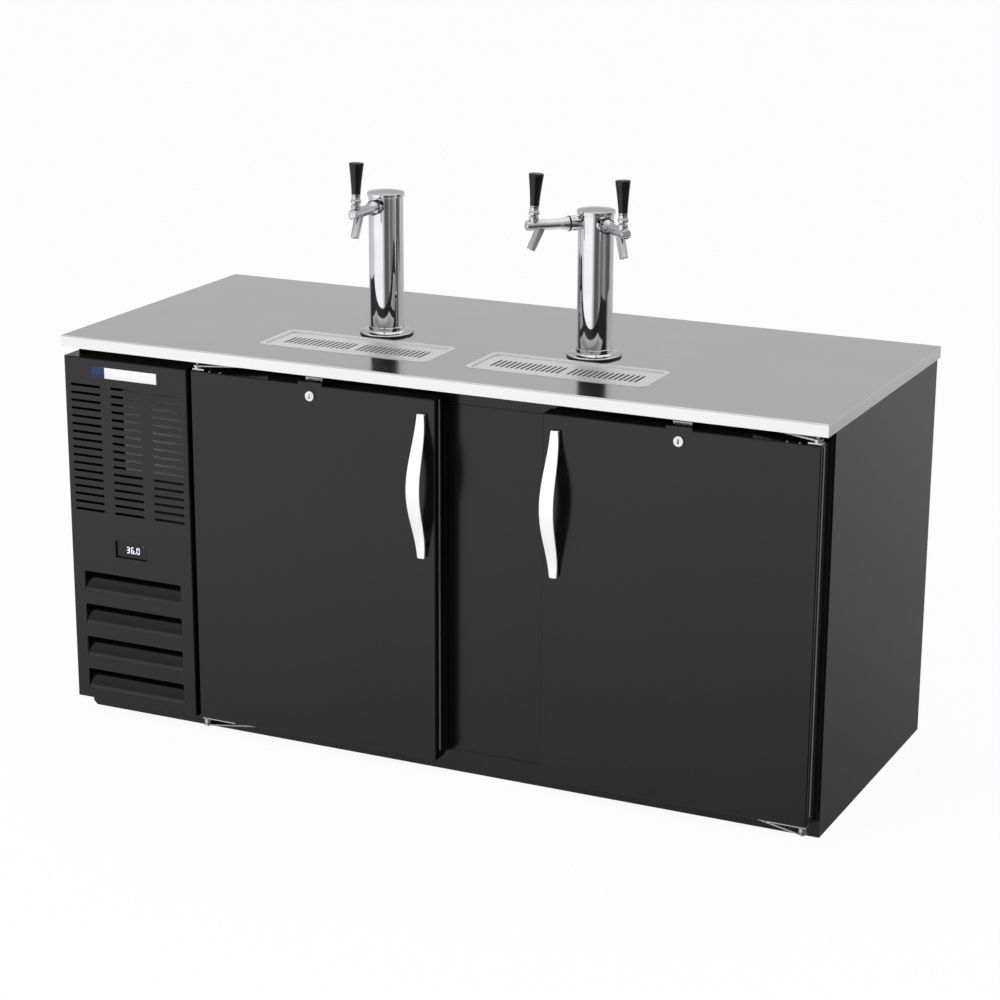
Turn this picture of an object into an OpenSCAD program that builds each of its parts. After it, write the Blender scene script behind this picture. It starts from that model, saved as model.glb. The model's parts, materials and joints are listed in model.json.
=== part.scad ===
// Draft beer dispenser: a two-door keg cooler with a stainless counter, two tap towers and three taps.
// X runs to the right, Y to the back and Z up. The origin is the middle of the base's underside.

/* [Cabinet] */
// Width of the cabinet across its side walls
body_w = 1819; // [1760:1:1900]
// Depth of the cabinet from its front plane to its back
body_d = 705; // [660:1:760]
// Height of the counter's top face above the floor
counter_h = 915; // [860:1:960]
// Thickness of the insulated rear wall
rear_t = 45; // [30:1:60]
// Depth of the post between the doors
post_d = 50; // [35:1:70]
// How far the post's foot reaches down over the base
post_foot = 10; // [4:1:14]
// How far the post's face lies behind the cabinet's front plane
post_recess = 1; // [0.5:0.1:2]
// Cut-off at the base's lower front left corner
base_chamfer = 10; // [4:1:20]
// Thickness of the folded sheet of panels and covers
sheet_t = 1.5; // [1:0.1:2.5]
// Diameter of the gas line port through the rear wall
gas_port_d = 30; // [20:1:40]
// Height of the gas line port above the floor
gas_port_h = 240; // [150:5:400]
// Distance of the gas line port from the right side
gas_port_inset = 180; // [120:5:400]

/* [Counter] */
// Thickness of the counter slab
slab_t = 27; // [26:0.5:36]
// Reach of the slab past the cabinet's front plane
slab_front = 65; // [60:1:75]
// Reach of the slab past each side wall
slab_side = 5; // [0:1:12]
// Reach of the slab past the cabinet's back
slab_back = 5; // [0:1:12]
// Radius of the slab's upper edges
slab_edge_r = 3; // [1:0.5:4]
// Thickness of the stainless sheet over the core boards
counter_sheet = 1.5; // [1.2:0.1:2]
// Diameter of the beer line passage under each tower
passage_d = 60; // [40:1:64]

/* [Doors] */
// Width of each door
door_w = 610; // [580:1:625]
// Height of the doors' lower edge above the floor
door_low = 42; // [30:1:60]
// Depth of the door's painted skin
door_t = 44; // [38:1:48]
// Radius of the door skin's front edges
door_edge_r = 3; // [1:0.5:6]
// Distance of the door's front behind the slab's front edge
door_setback = 5; // [0:1:8]
// Gap between the slab's underside and the door's top
door_top_gap = 21; // [20:0.5:26]
// Gap between the right door and the cabinet's right side
door_side_gap = 10.5; // [6:0.5:14]
// Gap between the machine panel and the left door
door_panel_gap = 11; // [9:0.5:16]
// Thickness of the liner's flange
liner_t = 2; // [1:0.5:3]
// Depth of the liner's raised middle
liner_rise = 21; // [12:1:24]
// Width of the magnetic gasket
gasket_w = 13; // [9:0.5:14]
// Gap left between gasket and cabinet
gasket_gap = 0.3; // [0.2:0.05:0.6]
// Cabinet edge covered by the door on its hinge side
jamb_hinge = 31; // [31:1:38]
// Cabinet edge covered by the door on its latch side
jamb_latch = 20; // [19:1:28]
// Cabinet edge covered above each opening
jamb_top = 19; // [18:1:26]
// Cabinet edge covered below each opening
jamb_bottom = 20; // [19:1:26]

/* [Hinges] */
// Distance of the hinge line in from the door's side edge
hinge_in = 12; // [11:0.5:13]
// Distance of the hinge line behind the door's front
hinge_back = 14; // [13:0.5:15]
// Diameter of the hinge pins
hinge_pin_d = 8; // [6:0.5:9]
// Depth of the pin in the door
hinge_pin_len = 12; // [8:1:20]
// Thickness of the door's hinge plates
hinge_plate_t = 4; // [2:0.5:5]
// Length of the hinge plates along the door
hinge_plate_len = 29; // [26:1:50]
// Thickness of the cabinet's hinge brackets
bracket_t = 3; // [2.5:0.5:4]
// Length of the brackets along the cabinet
bracket_len = 165; // [110:1:180]

/* [Handles] */
// Length of the bowed handle
handle_len = 323; // [260:1:380]
// Width of the handle at its middle
handle_w = 32; // [26:1:40]
// Width of the handle at its ends
handle_end_w = 17; // [14:1:22]
// Thickness of the bowed strip
handle_t = 7; // [5:0.5:9]
// Reach of the handle's middle out from the door
handle_reach = 56; // [50:1:64]
// How much further out the middle is than the ends
handle_bow = 43; // [36:1:45]
// Distance of the handle's middle line from the latch edge
handle_in = 30.5; // [24:0.5:60]
// Distance of the handle's top below the door's top
handle_drop = 33; // [20:1:120]
// Height of each foot on the door
foot_h = 50; // [34:1:60]
// Width of each foot
foot_w = 15; // [10:0.5:16]

/* [Locks] */
// Diameter of the lock's front ring
lock_d = 23; // [22:0.5:26]
// Diameter of the turning plug
plug_d = 14; // [10:0.5:14]
// Distance of the lock below the door's top
lock_drop = 25; // [23:0.5:27]
// Length of the lock barrel in the door
lock_len = 24; // [18:1:26]
// Reach of the cam from the lock's axis
cam_len = 33.5; // [33:0.5:34]
// Thickness of the cam
cam_t = 4; // [3:0.5:5]
// Width of the keeper above each door
keeper_w = 42; // [28:1:50]
// Gap between the door's top and the keeper
keeper_gap = 4.5; // [4:0.5:5]
// Width of the tab that stands up in front of the keeper
lock_tab_w = 58; // [44:1:70]
// Height of that tab above the door's top
lock_tab_h = 5.5; // [3:0.5:6]

/* [Machine panel] */
// Width of the machine panel
panel_w = 326; // [310:1:350]
// Reach of the panel past the cabinet's left side
panel_lap = 1.5; // [0:0.5:4]
// Number of slot columns
slot_cols = 3; // [2:1:3]
// Length of a slot
slot_len = 80; // [60:1:92]
// Height of a slot
slot_h = 6; // [4:0.5:9]
// Spacing of the slot rows
slot_pitch = 18.45; // [14:0.05:19]
// Spacing of the slot columns
slot_col_pitch = 107.5; // [98:0.5:107.5]
// First slot row below the panel's top
slot_drop = 65; // [50:1:75]
// Least gap between the slots and the display
slot_foot = 64; // [50:1:70]
// Display width
display_w = 86; // [70:1:110]
// Display height
display_h = 40; // [30:1:46]
// Middle of the display above the top louvre's middle
display_lift = 89.5; // [80:0.5:100]
// Depth of the display window behind the panel's front
display_recess = 5; // [3:0.5:8]
// Number of louvres
louvre_n = 4; // [2:1:4]
// Width of a louvre
louvre_w = 264; // [200:1:280]
// Height of a louvre
louvre_h = 50; // [40:1:58]
// Spacing of the louvres
louvre_pitch = 80.3; // [72:0.1:82]
// Middle of the lowest louvre above the panel's foot
louvre_low = 48.6; // [44:0.1:60]
// Depth of a louvre's scoop
louvre_d = 24; // [15:1:34]
// Radius of a louvre's corners
louvre_r = 6; // [2:0.5:10]

/* [Machine space] */
// Diameter of the compressor's shell
compressor_d = 184; // [150:2:220]
// Height of the compressor's shell
compressor_h = 205; // [160:5:260]
// Width of the condenser
condenser_w = 290; // [240:2:300]
// Height of the condenser
condenser_h = 318; // [270:2:360]
// Depth of the condenser
condenser_d = 70; // [40:1:90]
// Number of condenser fins
condenser_fins = 17; // [9:1:25]
// Diameter of the condenser fan
fan_d = 224; // [180:2:240]
// Number of blades on each fan
fan_blades = 5; // [3:1:7]
// Diameter of the fan motors' shafts
fan_shaft_d = 8; // [6:0.5:10]
// Width of the electrical box
box_w = 222; // [150:1:250]
// Height of the electrical box
box_h = 228; // [160:1:260]
// Depth of the electrical box
box_d = 140; // [90:1:180]

/* [Evaporator] */
// Reach of the evaporator housing into the keg space
evap_reach = 118; // [100:1:140]
// Depth of the evaporator housing from front to back
evap_d = 300; // [240:1:340]
// Height of the evaporator housing
evap_h = 280; // [230:1:320]
// Diameter of the evaporator fan
evap_fan_d = 150; // [110:2:170]

/* [Drip trays] */
// Distance of each tray and tower from the counter's middle
tray_x = 257; // [240:1:330]
// Width of a tray's rim
tray_w = 422; // [340:1:450]
// Depth of a tray's rim from front to back
tray_d = 160; // [130:1:164]
// Front of a tray behind the slab's front edge
tray_front = 120; // [90:1:122]
// Radius of the rim's corners
tray_r = 16; // [12:1:24]
// Thickness of a tray's metal
tray_t = 1.2; // [1:0.1:2]
// Width of the rim on the counter
rim_w = 10; // [8:0.5:14]
// Width of the ledge that carries the grid
ledge_w = 9; // [6:0.5:12]
// Depth of the ledge below the counter
ledge_drop = 5; // [4:0.5:8]
// Depth of the pan below the counter
pan_deep = 23; // [16:0.5:24]
// Diameter of the drain spout
drain_d = 16; // [12:1:20]
// Length of the drain spout below the ceiling
drain_len = 12; // [6:1:20]
// Thickness of the grid
grid_t = 2; // [1.5:0.1:3]
// Gap round the grid
grid_gap = 1; // [0.5:0.1:2]
// Slots in each half of the grid
grid_slots = 14; // [8:1:14]
// Spacing of the grid's slots
grid_pitch = 12; // [10:0.25:12]
// Width of a grid slot
grid_slot_w = 6; // [4:0.25:7]
// Length of a grid slot
grid_slot_len = 62; // [40:1:90]
// Spacing across the grid's middle bar
grid_middle = 26; // [14:1:30]

/* [Towers] */
// Distance of the towers behind the slab's front edge
tower_back = 345; // [345:1:420]
// Diameter of a tower's column
column_d = 78; // [70:0.5:84]
// Wall of a tower's column
column_wall = 1.8; // [1.2:0.1:3]
// Height of a tower's column top above the counter
column_top = 322; // [318:1:380]
// Diameter of a tower's flange
flange_d = 119; // [104:1:124]
// Thickness of a tower's flange
flange_t = 5; // [4:0.5:8]
// Height of the flange's collar
collar_h = 14; // [8:0.5:24]
// Thickness of the gasket under a flange
tower_gasket_t = 1.5; // [1:0.1:3]
// Diameter of a tower's cap
cap_d = 84; // [80:0.5:92]
// Height of the cap's rim
cap_h = 9; // [6:0.5:12]
// Rise of the cap's dome
cap_dome = 4; // [2:0.5:8]

/* [Taps] */
// Height of the taps' axes above the counter
tap_h = 297; // [260:1:298]
// Directions of the right tower's taps from straight ahead
tap_spread = 47; // [40:1:70]
// Reach of a tap's front end from its tower's axis
tap_reach = 160; // [158:1:175]
// Diameter of a tap's body
tap_d = 23; // [22:0.5:26]
// Diameter of the coupling nut
nut_d = 33; // [30:0.5:34]
// Length of the coupling nut
nut_len = 18.5; // [15:0.5:20]
// Diameter of the shank
shank_d = 22; // [18:0.5:23]
// Distance of the lever from the tower's axis
lever_reach = 142; // [140:0.5:143]
// Height of the lever's pivot above the tap's axis
pivot_h = 18; // [17:0.5:19]
// Diameter of the lever's ball
ball_d = 14.6; // [13:0.2:15]
// Diameter of the bonnet
bonnet_d = 21.6; // [20:0.2:24]
// Height of the bonnet's top above the tap's axis
bonnet_top = 20.5; // [19:0.25:20.5]
// Backward lean of the closed lever
lever_lean = 3; // [0:0.5:3]
// Diameter of the lever's ferrule
ferrule_d = 19; // [16:0.5:20]
// Height of the ferrule's foot above the tap's axis
ferrule_low = 30; // [30:0.5:34]
// Height of the knob's foot above the tap's axis
knob_low = 44.5; // [42:0.5:50]
// Height of the knob
knob_h = 72.5; // [55:0.5:90]
// Diameter of the knob at its foot
knob_foot_d = 20; // [18:0.5:24]
// Diameter of the knob at its top
knob_top_d = 33; // [26:0.5:38]
// Reach of the spout's end from the tower's axis
spout_reach = 147; // [140:0.5:152]
// Drop of the spout's end below the tap's axis
spout_drop = 49; // [40:0.5:60]
// Slant of the spout
spout_slant = 25; // [20:1:30]
// Diameter of the spout's end
spout_d = 16.4; // [15:0.2:18]
// Wall of the spout
spout_wall = 2; // [1.5:0.1:3]
// Diameter of the tap's valve chamber
chamber_d = 12.2; // [11.4:0.1:13]

/* [Hidden] */
$fn = 64;
big_fn = 720;
over = 0.5;
run_fit = 0.05;
seat_fit = 0.1;
clear = 0.3;

front_y = -body_d / 2;
back_y = body_d / 2;
right_x = body_w / 2;
left_x = -right_x;
slab_y0 = front_y - slab_front;
slab_y1 = back_y + slab_back;
slab_z0 = counter_h - slab_t;
// Joint between two core boards, and their room round a drip pan
board_gap = 0.4;
board_fit = 1;

door_y = slab_y0 + door_setback;
door_z1 = slab_z0 - door_top_gap;
door_z0 = door_low;
door_h = door_z1 - door_z0;
liner_y = door_y + door_t;
gasket_y = liner_y + liner_t;
panel_x0 = left_x - panel_lap;
panel_x1 = panel_x0 + panel_w;
left_door_x = panel_x1 + door_panel_gap;
right_door_x = right_x - door_side_gap;

rail_z = door_z1 - jamb_top;
sill_z = door_z0 + jamb_bottom;
keg_x0 = left_door_x + jamb_hinge;
keg_x1 = right_door_x - jamb_hinge;
post_x0 = left_door_x + door_w - jamb_latch;
post_x1 = right_door_x - door_w + jamb_latch;
inner_y = back_y - rear_t;

// Gasket and liner, measured from the door's edges
gasket_edge = 2.5;
gasket_past_hinge = 2;
gasket_hinge_edge = hinge_in + gasket_past_hinge;
liner_edge = 1.5;
liner_inset = 45;
liner_r = 14;

// Hinge line and pockets
hinge_y = door_y + hinge_back;
pin_r = hinge_pin_d / 2;
bracket_gap = 5;
bracket_drop = 12;
pin_head = 4;
pin_room = 2;
washer_rim = 4.5;
washer_r = pin_r + washer_rim;
bracket_rim = 7;
bracket_r = pin_r + bracket_rim;
bracket_leg = 10;
bracket_in = 30;
foot_plate_len = 86;
bracket_x0 = hinge_in - bracket_r;
plate_edge = 2;

// Lock, cam and keeper
lock_x = door_w / 2;
lock_z = door_z1 - lock_drop;
lock_proud = 4;
lock_wall = 3.5;
lock_bevel = 1;
lock_tab_t = 4;
key_w = 4;
key_h = 10;
key_deep = 6;
cam_gap = 1;
cam_room = 2;
cam_pass = 3;
cam_w = plug_d;
cam_y = door_y + lock_len + cam_gap;
keeper_t = 2.5;
keeper_lip = 5;
keeper_y = cam_y - keeper_t - cam_pass;

// Handle arcs
handle_half = handle_len / 2;
handle_x = door_w - handle_in;
handle_z = door_z1 - handle_drop - handle_half;
bow_r = (handle_half * handle_half + handle_bow * handle_bow) / (2 * handle_bow);
bow_y = door_y - handle_reach + bow_r;
taper = (handle_w - handle_end_w) / 2;
taper_r = (handle_half * handle_half + taper * taper) / (2 * taper);
foot_deep = 20;

// Machine panel pattern
panel_mid = (panel_x0 + panel_x1) / 2;
louvre_z = door_z0 + louvre_low;
louvre_sink = 2;
louvre_start = 0.4;
louvre_steps = 8;
display_z = louvre_z + (louvre_n - 1) * louvre_pitch + display_lift;
slot_z = door_z1 - slot_drop;
slot_rows = 1 + floor((slot_z - display_z - display_h / 2 - slot_foot) / slot_pitch);
window_t = 2;
display_gap = 1.5;
controller_d = 30;
controller_edge = 6;

// Machine space
machine_y = 130;
compressor_foot_h = 18;
compressor_plate = [220, 160, 3];
compressor_foot_r = 15;
compressor_foot_in = 20;
shell_round = 13;
shell_seam = 4;
shell_dome = 52;
terminal_w = 68;
terminal_h = 70;
terminal_out = 34;
terminal_in = 20;
stub_len = 40;
suction_r = 6;
charge_r = 5;
vent_rows = 14;
vent_pitch = 22;
vent_len = 110;
vent_gap = 22;
vent_low = 90;
condenser_set = 18;
condenser_y = front_y + condenser_set;
condenser_fin_t = 1.2;
condenser_tube_d = 10;
condenser_tubes = 5;
shroud_y = condenser_y + condenser_d;
fan_x = (left_x + panel_x1) / 2;
fan_z = sill_z + condenser_h / 2;
fan_set = 20;
fan_y = shroud_y + fan_set;
fan_hub_len = 26;
fan_hub_d = 44;
fan_ring_gap = 8;
fan_motor_gap = 8;
blade_root = 4;
shroud_t = 2;
stand_t = 6;
stand_w = 60;
stand_floor_t = 3;
motor_d = 76;
motor_len = 60;
blade_t = 2;
blade_pitch = 32;
box_set = 24;
box_lift = 4;
box_y = front_y + box_set;
box_z = slot_z - box_h + box_lift;
box_lid_t = 6;
box_lid_edge = 3;
box_gland_d = 24;
box_gland_len = 16;

// Evaporator
evap_y0 = -40;
evap_top_gap = 8;
evap_z1 = rail_z - evap_top_gap;
evap_z0 = evap_z1 - evap_h;
evap_fan_y = evap_y0 + evap_d / 2;
evap_fan_z = (evap_z0 + evap_z1) / 2;
coil_d = 38;
evap_motor_d = 60;
evap_motor_len = 34;
evap_hub_len = 16;
evap_hub_d = 34;
evap_fan_gap = 4;
evap_fan_x = keg_x0 + coil_d + evap_motor_len + evap_fan_gap;
evap_shaft_past = 2;
coil_slots = 12;
coil_slot_w = 8;
coil_back = 4;
coil_stop = 10;

// Trays, from the slab's front edge
tray_y = slab_y0 + tray_front + tray_d / 2;
well_w = tray_w - 2 * rim_w;
well_d = tray_d - 2 * rim_w;
basin_w = well_w - 2 * ledge_w;
basin_d = well_d - 2 * ledge_w;
well_r = tray_r - rim_w / 2;
pan_seam = 0.2;
drain_wall = 1.5;

// Towers and taps
tower_y = slab_y0 + tower_back;
column_r = column_d / 2;
flange_z = counter_h + tower_gasket_t;
column_z = flange_z + flange_t / 2;
column_z1 = counter_h + column_top;
collar_wall = 3.5;
collar_r = column_r + collar_wall;
collar_edge = 1;
fillet_w = 3;
fillet_h = 4;
flange_crown = 1;
flange_seat = 3;
cap_r = cap_d / 2;
cap_plate = 2;
cap_lip = 1.5;
gasket_trim = 1;
tap_z = counter_h + tap_h;
tap_r = tap_d / 2;
shank_r = shank_d / 2;
nut_r = nut_d / 2;
shank_bore_d = 6.4;
shank_tail = 22;
shank_collar_t = 4;
saddle_sink = 6;
saddle_step = 1.5;
lock_nut_len = 6;
lock_nut_step = 1;
nut_u0 = column_r + shank_collar_t;
nut_u1 = nut_u0 + nut_len;
spigot_len = 7;
joint_u = nut_u1 - spigot_len;
nut_wall = 3.5;
spigot_r = nut_r - nut_wall;
nut_edge = 1.5;
nut_notches = 8;
notch_w = 4;
notch_deep = 1;
inlet_wall = 5;
tap_nose = 3;
flare_len = 28;
inlet_len = 11;
seat_u = nut_u1 + inlet_len;
seat_t = 4;
seat_d = 9;
chamber_end = 6;
boss_rise = 0.5;
boss_top = tap_r + boss_rise;
bonnet_lap = 0.6;
boss_r = bonnet_d / 2 - bonnet_lap;
bonnet_groove = 0.8;
bonnet_groove_d = 1;
bonnet_edge = 2;
socket_r = ball_d / 2 + clear;
stem_r = 4.6;
tip_r = 2.8;
tip_low = -3;
tip_shift = pivot_h * sin(lever_lean);
lever_pull = 35;
ferrule_edge = 1.5;
ferrule_ring = 4;
ferrule_waist = 1;
knob_bevel = 2;
slot_half = 6;
guide_half = 10;
plunger_rod_d = 5;
washer_t = 4.8;
washer_lap = 6;
spout_u0 = spout_reach - spout_drop * tan(spout_slant);
spout_len = spout_drop / cos(spout_slant);
spout_flare = 1.5;

// Tower of each tap and its direction from straight ahead
tap_tower = [-1, 1, 1];
tap_dir = [0, -tap_spread, tap_spread];

black = "#2b2b2b";
steel = "#b4b5b7";
chrome = "#d8dadd";
bright = "#c9cacc";
grey = "#8d9094";
dark = "#1c1c1d";

// Shared shapes

// A box between two corners
module block(low, high) {
    translate(low) cube(high - low);
}

// A rectangle centred on the origin with round corners
module rounded_rect(w, d, r) {
    square([w - 2 * r, d], center = true);
    square([w, d - 2 * r], center = true);
    for (sx = [-1, 1], sy = [-1, 1])
        translate([sx * (w / 2 - r), sy * (d / 2 - r)]) circle(r);
}

// A rectangle whose two corners at y0 are round
module nosed_rect(x0, x1, y0, y1, r) {
    translate([x0, y0 + r]) square([x1 - x0, y1 - y0 - r]);
    translate([x0 + r, y0]) square([x1 - x0 - 2 * r, y1 - y0]);
    for (x = [x0 + r, x1 - r]) translate([x, y0 + r]) circle(r);
}

// A box whose four front edges are round
module nosed_box(low, high, r) {
    intersection() {
        translate([0, 0, low[2]])
            linear_extrude(high[2] - low[2]) nosed_rect(low[0], high[0], low[1], high[1], r);
        translate([high[0], 0, 0]) rotate([0, -90, 0])
            linear_extrude(high[0] - low[0]) nosed_rect(low[2], high[2], low[1], high[1], r);
    }
}

// A slab whose four upper edges are round
module crowned_box(low, high, r) {
    intersection() {
        translate([0, low[1], 0]) rotate([-90, 0, 0])
            linear_extrude(high[1] - low[1]) nosed_rect(low[0], high[0], -high[2], -low[2], r);
        translate([high[0], 0, 0]) rotate([-90, 0, 90])
            linear_extrude(high[0] - low[0]) nosed_rect(low[1], high[1], -high[2], -low[2], r);
    }
}

// A flat shape drawn in x and z, given thickness from y0 to y1
module facing(y0, y1) {
    translate([0, y1, 0]) rotate([90, 0, 0]) linear_extrude(y1 - y0) children();
}

// A flat shape drawn in y and z, given thickness from x0 to x1
module sideways(x0, x1) {
    translate([x0, 0, 0]) rotate([90, 0, 90]) linear_extrude(x1 - x0) children();
}

// A rod along X, Y or Z
module rod_x(x0, x1, r) { translate([x0, 0, 0]) rotate([0, 90, 0]) cylinder(h = x1 - x0, r = r); }
module rod_y(y0, y1, r) { translate([0, y0, 0]) rotate([-90, 0, 0]) cylinder(h = y1 - y0, r = r); }
module rod_z(z0, z1, r) { translate([0, 0, z0]) cylinder(h = z1 - z0, r = r); }

// A slot with round ends along x
module slot_shape(len, wide) {
    square([len - wide, wide], center = true);
    for (s = [-1, 1]) translate([s * (len - wide) / 2, 0]) circle(d = wide, $fn = 24);
}

// Places a door's pieces: x runs from the hinge edge to the latch edge
module on_left_door() { translate([left_door_x, 0, 0]) children(); }
module on_right_door() { translate([right_door_x, 0, 0]) mirror([1, 0, 0]) children(); }
module on_both_doors() {
    on_left_door() children();
    on_right_door() children();
}

// Places a tower's pieces
module on_tower(side) { translate([side * tray_x, tower_y, 0]) children(); }
module on_both_towers() { for (side = [-1, 1]) on_tower(side) children(); }

// Places a tap's pieces: x runs outward from the tower's axis, z = 0 is the tap's axis
module on_tap(k) {
    translate([tap_tower[k] * tray_x, tower_y, tap_z]) rotate([0, 0, tap_dir[k] - 90]) children();
}
module on_all_taps() { for (k = [0 : len(tap_dir) - 1]) on_tap(k) children(); }

// Cabinet

module base() {
    color(black) difference() {
        block([left_x, front_y, 0], [right_x, back_y, sill_z]);
        block([post_x0, front_y - over, sill_z - post_foot], [post_x1, front_y + post_d, sill_z + over]);
        facing(front_y - over, back_y + over)
            polygon([[left_x - over, -over], [left_x + base_chamfer, -over], [left_x - over, base_chamfer]]);
    }
}

module right_wall() {
    color(black) block([keg_x1, front_y, sill_z], [right_x, inner_y, rail_z]);
}

module rear_wall() {
    color(black) difference() {
        block([panel_x1, inner_y, sill_z], [right_x, back_y, rail_z]);
        translate([right_x - gas_port_inset, 0, gas_port_h])
            rod_y(inner_y - over, back_y + over, gas_port_d / 2);
    }
}

module partition_wall() {
    color(black) block([panel_x1, front_y, sill_z], [keg_x0, inner_y, rail_z]);
}

module ceiling_panel() {
    color(black) difference() {
        block([left_x, front_y, rail_z], [right_x, back_y, slab_z0]);
        on_both_towers() rod_z(rail_z - over, slab_z0 + over, passage_d / 2);
        for (side = [-1, 1]) translate([side * tray_x, tray_y, 0])
            rod_z(rail_z - over, slab_z0 + over, drain_d / 2 + seat_fit);
    }
}

module centre_post() {
    color(black) block([post_x0, front_y + post_recess, sill_z - post_foot],
        [post_x1, front_y + post_d, rail_z]);
}

module machine_side_panel() {
    color(black) block([left_x, front_y, sill_z], [left_x + sheet_t, back_y, rail_z]);
}

module machine_rear_panel() {
    color(black) difference() {
        block([left_x + sheet_t, back_y - sheet_t, sill_z], [panel_x1, back_y, rail_z]);
        facing(back_y - sheet_t - over, back_y + over)
            for (row = [0 : vent_rows - 1], side = [-1, 1])
                translate([fan_x + side * (vent_len + vent_gap) / 2, sill_z + vent_low + row * vent_pitch])
                    slot_shape(vent_len, slot_h);
    }
}

// Stainless sheet whose edge is folded down over the core boards
module countertop() {
    x0 = left_x - slab_side;
    x1 = right_x + slab_side;
    color(steel) difference() {
        crowned_box([x0, slab_y0, slab_z0], [x1, slab_y1, counter_h], slab_edge_r);
        block([x0 + counter_sheet, slab_y0 + counter_sheet, slab_z0 - over],
            [x1 - counter_sheet, slab_y1 - counter_sheet, counter_h - counter_sheet]);
        for (side = [-1, 1]) translate([side * tray_x, tray_y, slab_z0]) linear_extrude(slab_t + over)
            rounded_rect(well_w + 2 * tray_t, well_d + 2 * tray_t, well_r + tray_t);
        on_both_towers() rod_z(slab_z0 - over, counter_h + over, passage_d / 2);
    }
}

// Core boards under the sheet, in five rows set round the drip pans and the beer line passages
module counter_core() {
    half_w = well_w / 2 + tray_t + board_fit;
    half_d = well_d / 2 + tray_t + board_fit;
    hole = passage_d / 2;
    x0 = left_x - slab_side + counter_sheet;
    x1 = right_x + slab_side - counter_sheet;
    rows = [[slab_y0 + counter_sheet, tray_y - half_d, 0], [tray_y - half_d, tray_y + half_d, half_w],
        [tray_y + half_d, tower_y - hole, 0], [tower_y - hole, tower_y + hole, hole],
        [tower_y + hole, slab_y1 - counter_sheet, 0]];
    color(black) for (row = rows) {
        half = row[2];
        ends = half > 0 ? [x0, -tray_x - half, -tray_x + half, tray_x - half, tray_x + half, x1] : [x0, x1];
        for (k = [0 : 2 : len(ends) - 2])
            block([ends[k], row[0] + board_gap / 2, slab_z0],
                [ends[k + 1], row[1] - board_gap / 2, counter_h - counter_sheet]);
    }
}

// Machine panel and what is behind it

// One louvre: a floor that leaves the front in a curve and bends back as it rises, with a cheek at each end
module louvre_scoop(z) {
    low = z - louvre_h / 2 - louvre_sink;
    high = z + louvre_h / 2 - louvre_r - louvre_sink;
    y0 = door_y + sheet_t * louvre_start;
    bend = [for (i = [0 : louvre_steps]) let (t = i / louvre_steps)
        [y0 + louvre_d * t * t, low + (high - low) * t]];
    back = [for (i = [louvre_steps : -1 : 0]) bend[i] + [sheet_t, 0]];
    sideways(panel_mid - louvre_w / 2, panel_mid + louvre_w / 2) polygon(concat(bend, back));
    for (side = [-1, 1])
        sideways(panel_mid + side * louvre_w / 2 - sheet_t, panel_mid + side * louvre_w / 2 + sheet_t)
            polygon(concat(back, [[y0, low], [y0, z + louvre_h / 2]]));
}

module machine_panel() {
    color(black) {
        difference() {
            nosed_box([panel_x0, door_y, door_z0], [panel_x1, front_y, door_z1], door_edge_r);
            block([panel_x0 + sheet_t, door_y + sheet_t, door_z0 + sheet_t],
                [panel_x1 - sheet_t, front_y + over, door_z1 - sheet_t]);
            facing(door_y - over, door_y + sheet_t + over) {
                for (row = [0 : slot_rows - 1], col = [0 : slot_cols - 1])
                    translate([panel_mid + (col - (slot_cols - 1) / 2) * slot_col_pitch,
                        slot_z - row * slot_pitch]) slot_shape(slot_len, slot_h);
                translate([panel_mid, display_z])
                    square([display_w, display_h], center = true);
                for (k = [0 : louvre_n - 1])
                    translate([panel_mid, louvre_z + k * louvre_pitch])
                        rounded_rect(louvre_w, louvre_h, louvre_r);
            }
        }
        for (k = [0 : louvre_n - 1]) louvre_scoop(louvre_z + k * louvre_pitch);
    }
}

module controller() {
    half_w = display_w / 2;
    half_h = display_h / 2;
    rear = door_y + sheet_t + controller_d;
    color(dark) translate([panel_mid, 0, display_z]) difference() {
        block([-half_w - controller_edge, door_y + sheet_t, -half_h - controller_edge],
            [half_w + controller_edge, rear, half_h + controller_edge]);
        block([-half_w, door_y, -half_h], [half_w, door_y + display_recess + window_t, half_h]);
    }
}

module display_window() {
    half_w = display_w / 2 - display_gap;
    half_h = display_h / 2 - display_gap;
    front = door_y + display_recess;
    color("#101418") translate([panel_mid, 0, display_z])
        block([-half_w, front, -half_h], [half_w, front + window_t, half_h]);
}

module electrical_box() {
    x0 = panel_x1 - box_w;
    color("#a9abad") {
        block([x0, box_y + box_lid_t, box_z], [panel_x1, box_y + box_d, box_z + box_h]);
        block([x0 - box_lid_edge, box_y, box_z - box_lid_edge],
            [panel_x1, box_y + box_lid_t, box_z + box_h + box_lid_edge]);
        translate([panel_x1 - box_w / 2, box_y + box_d / 2, 0])
            rod_z(box_z - box_gland_len, box_z, box_gland_d / 2);
    }
}

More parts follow.
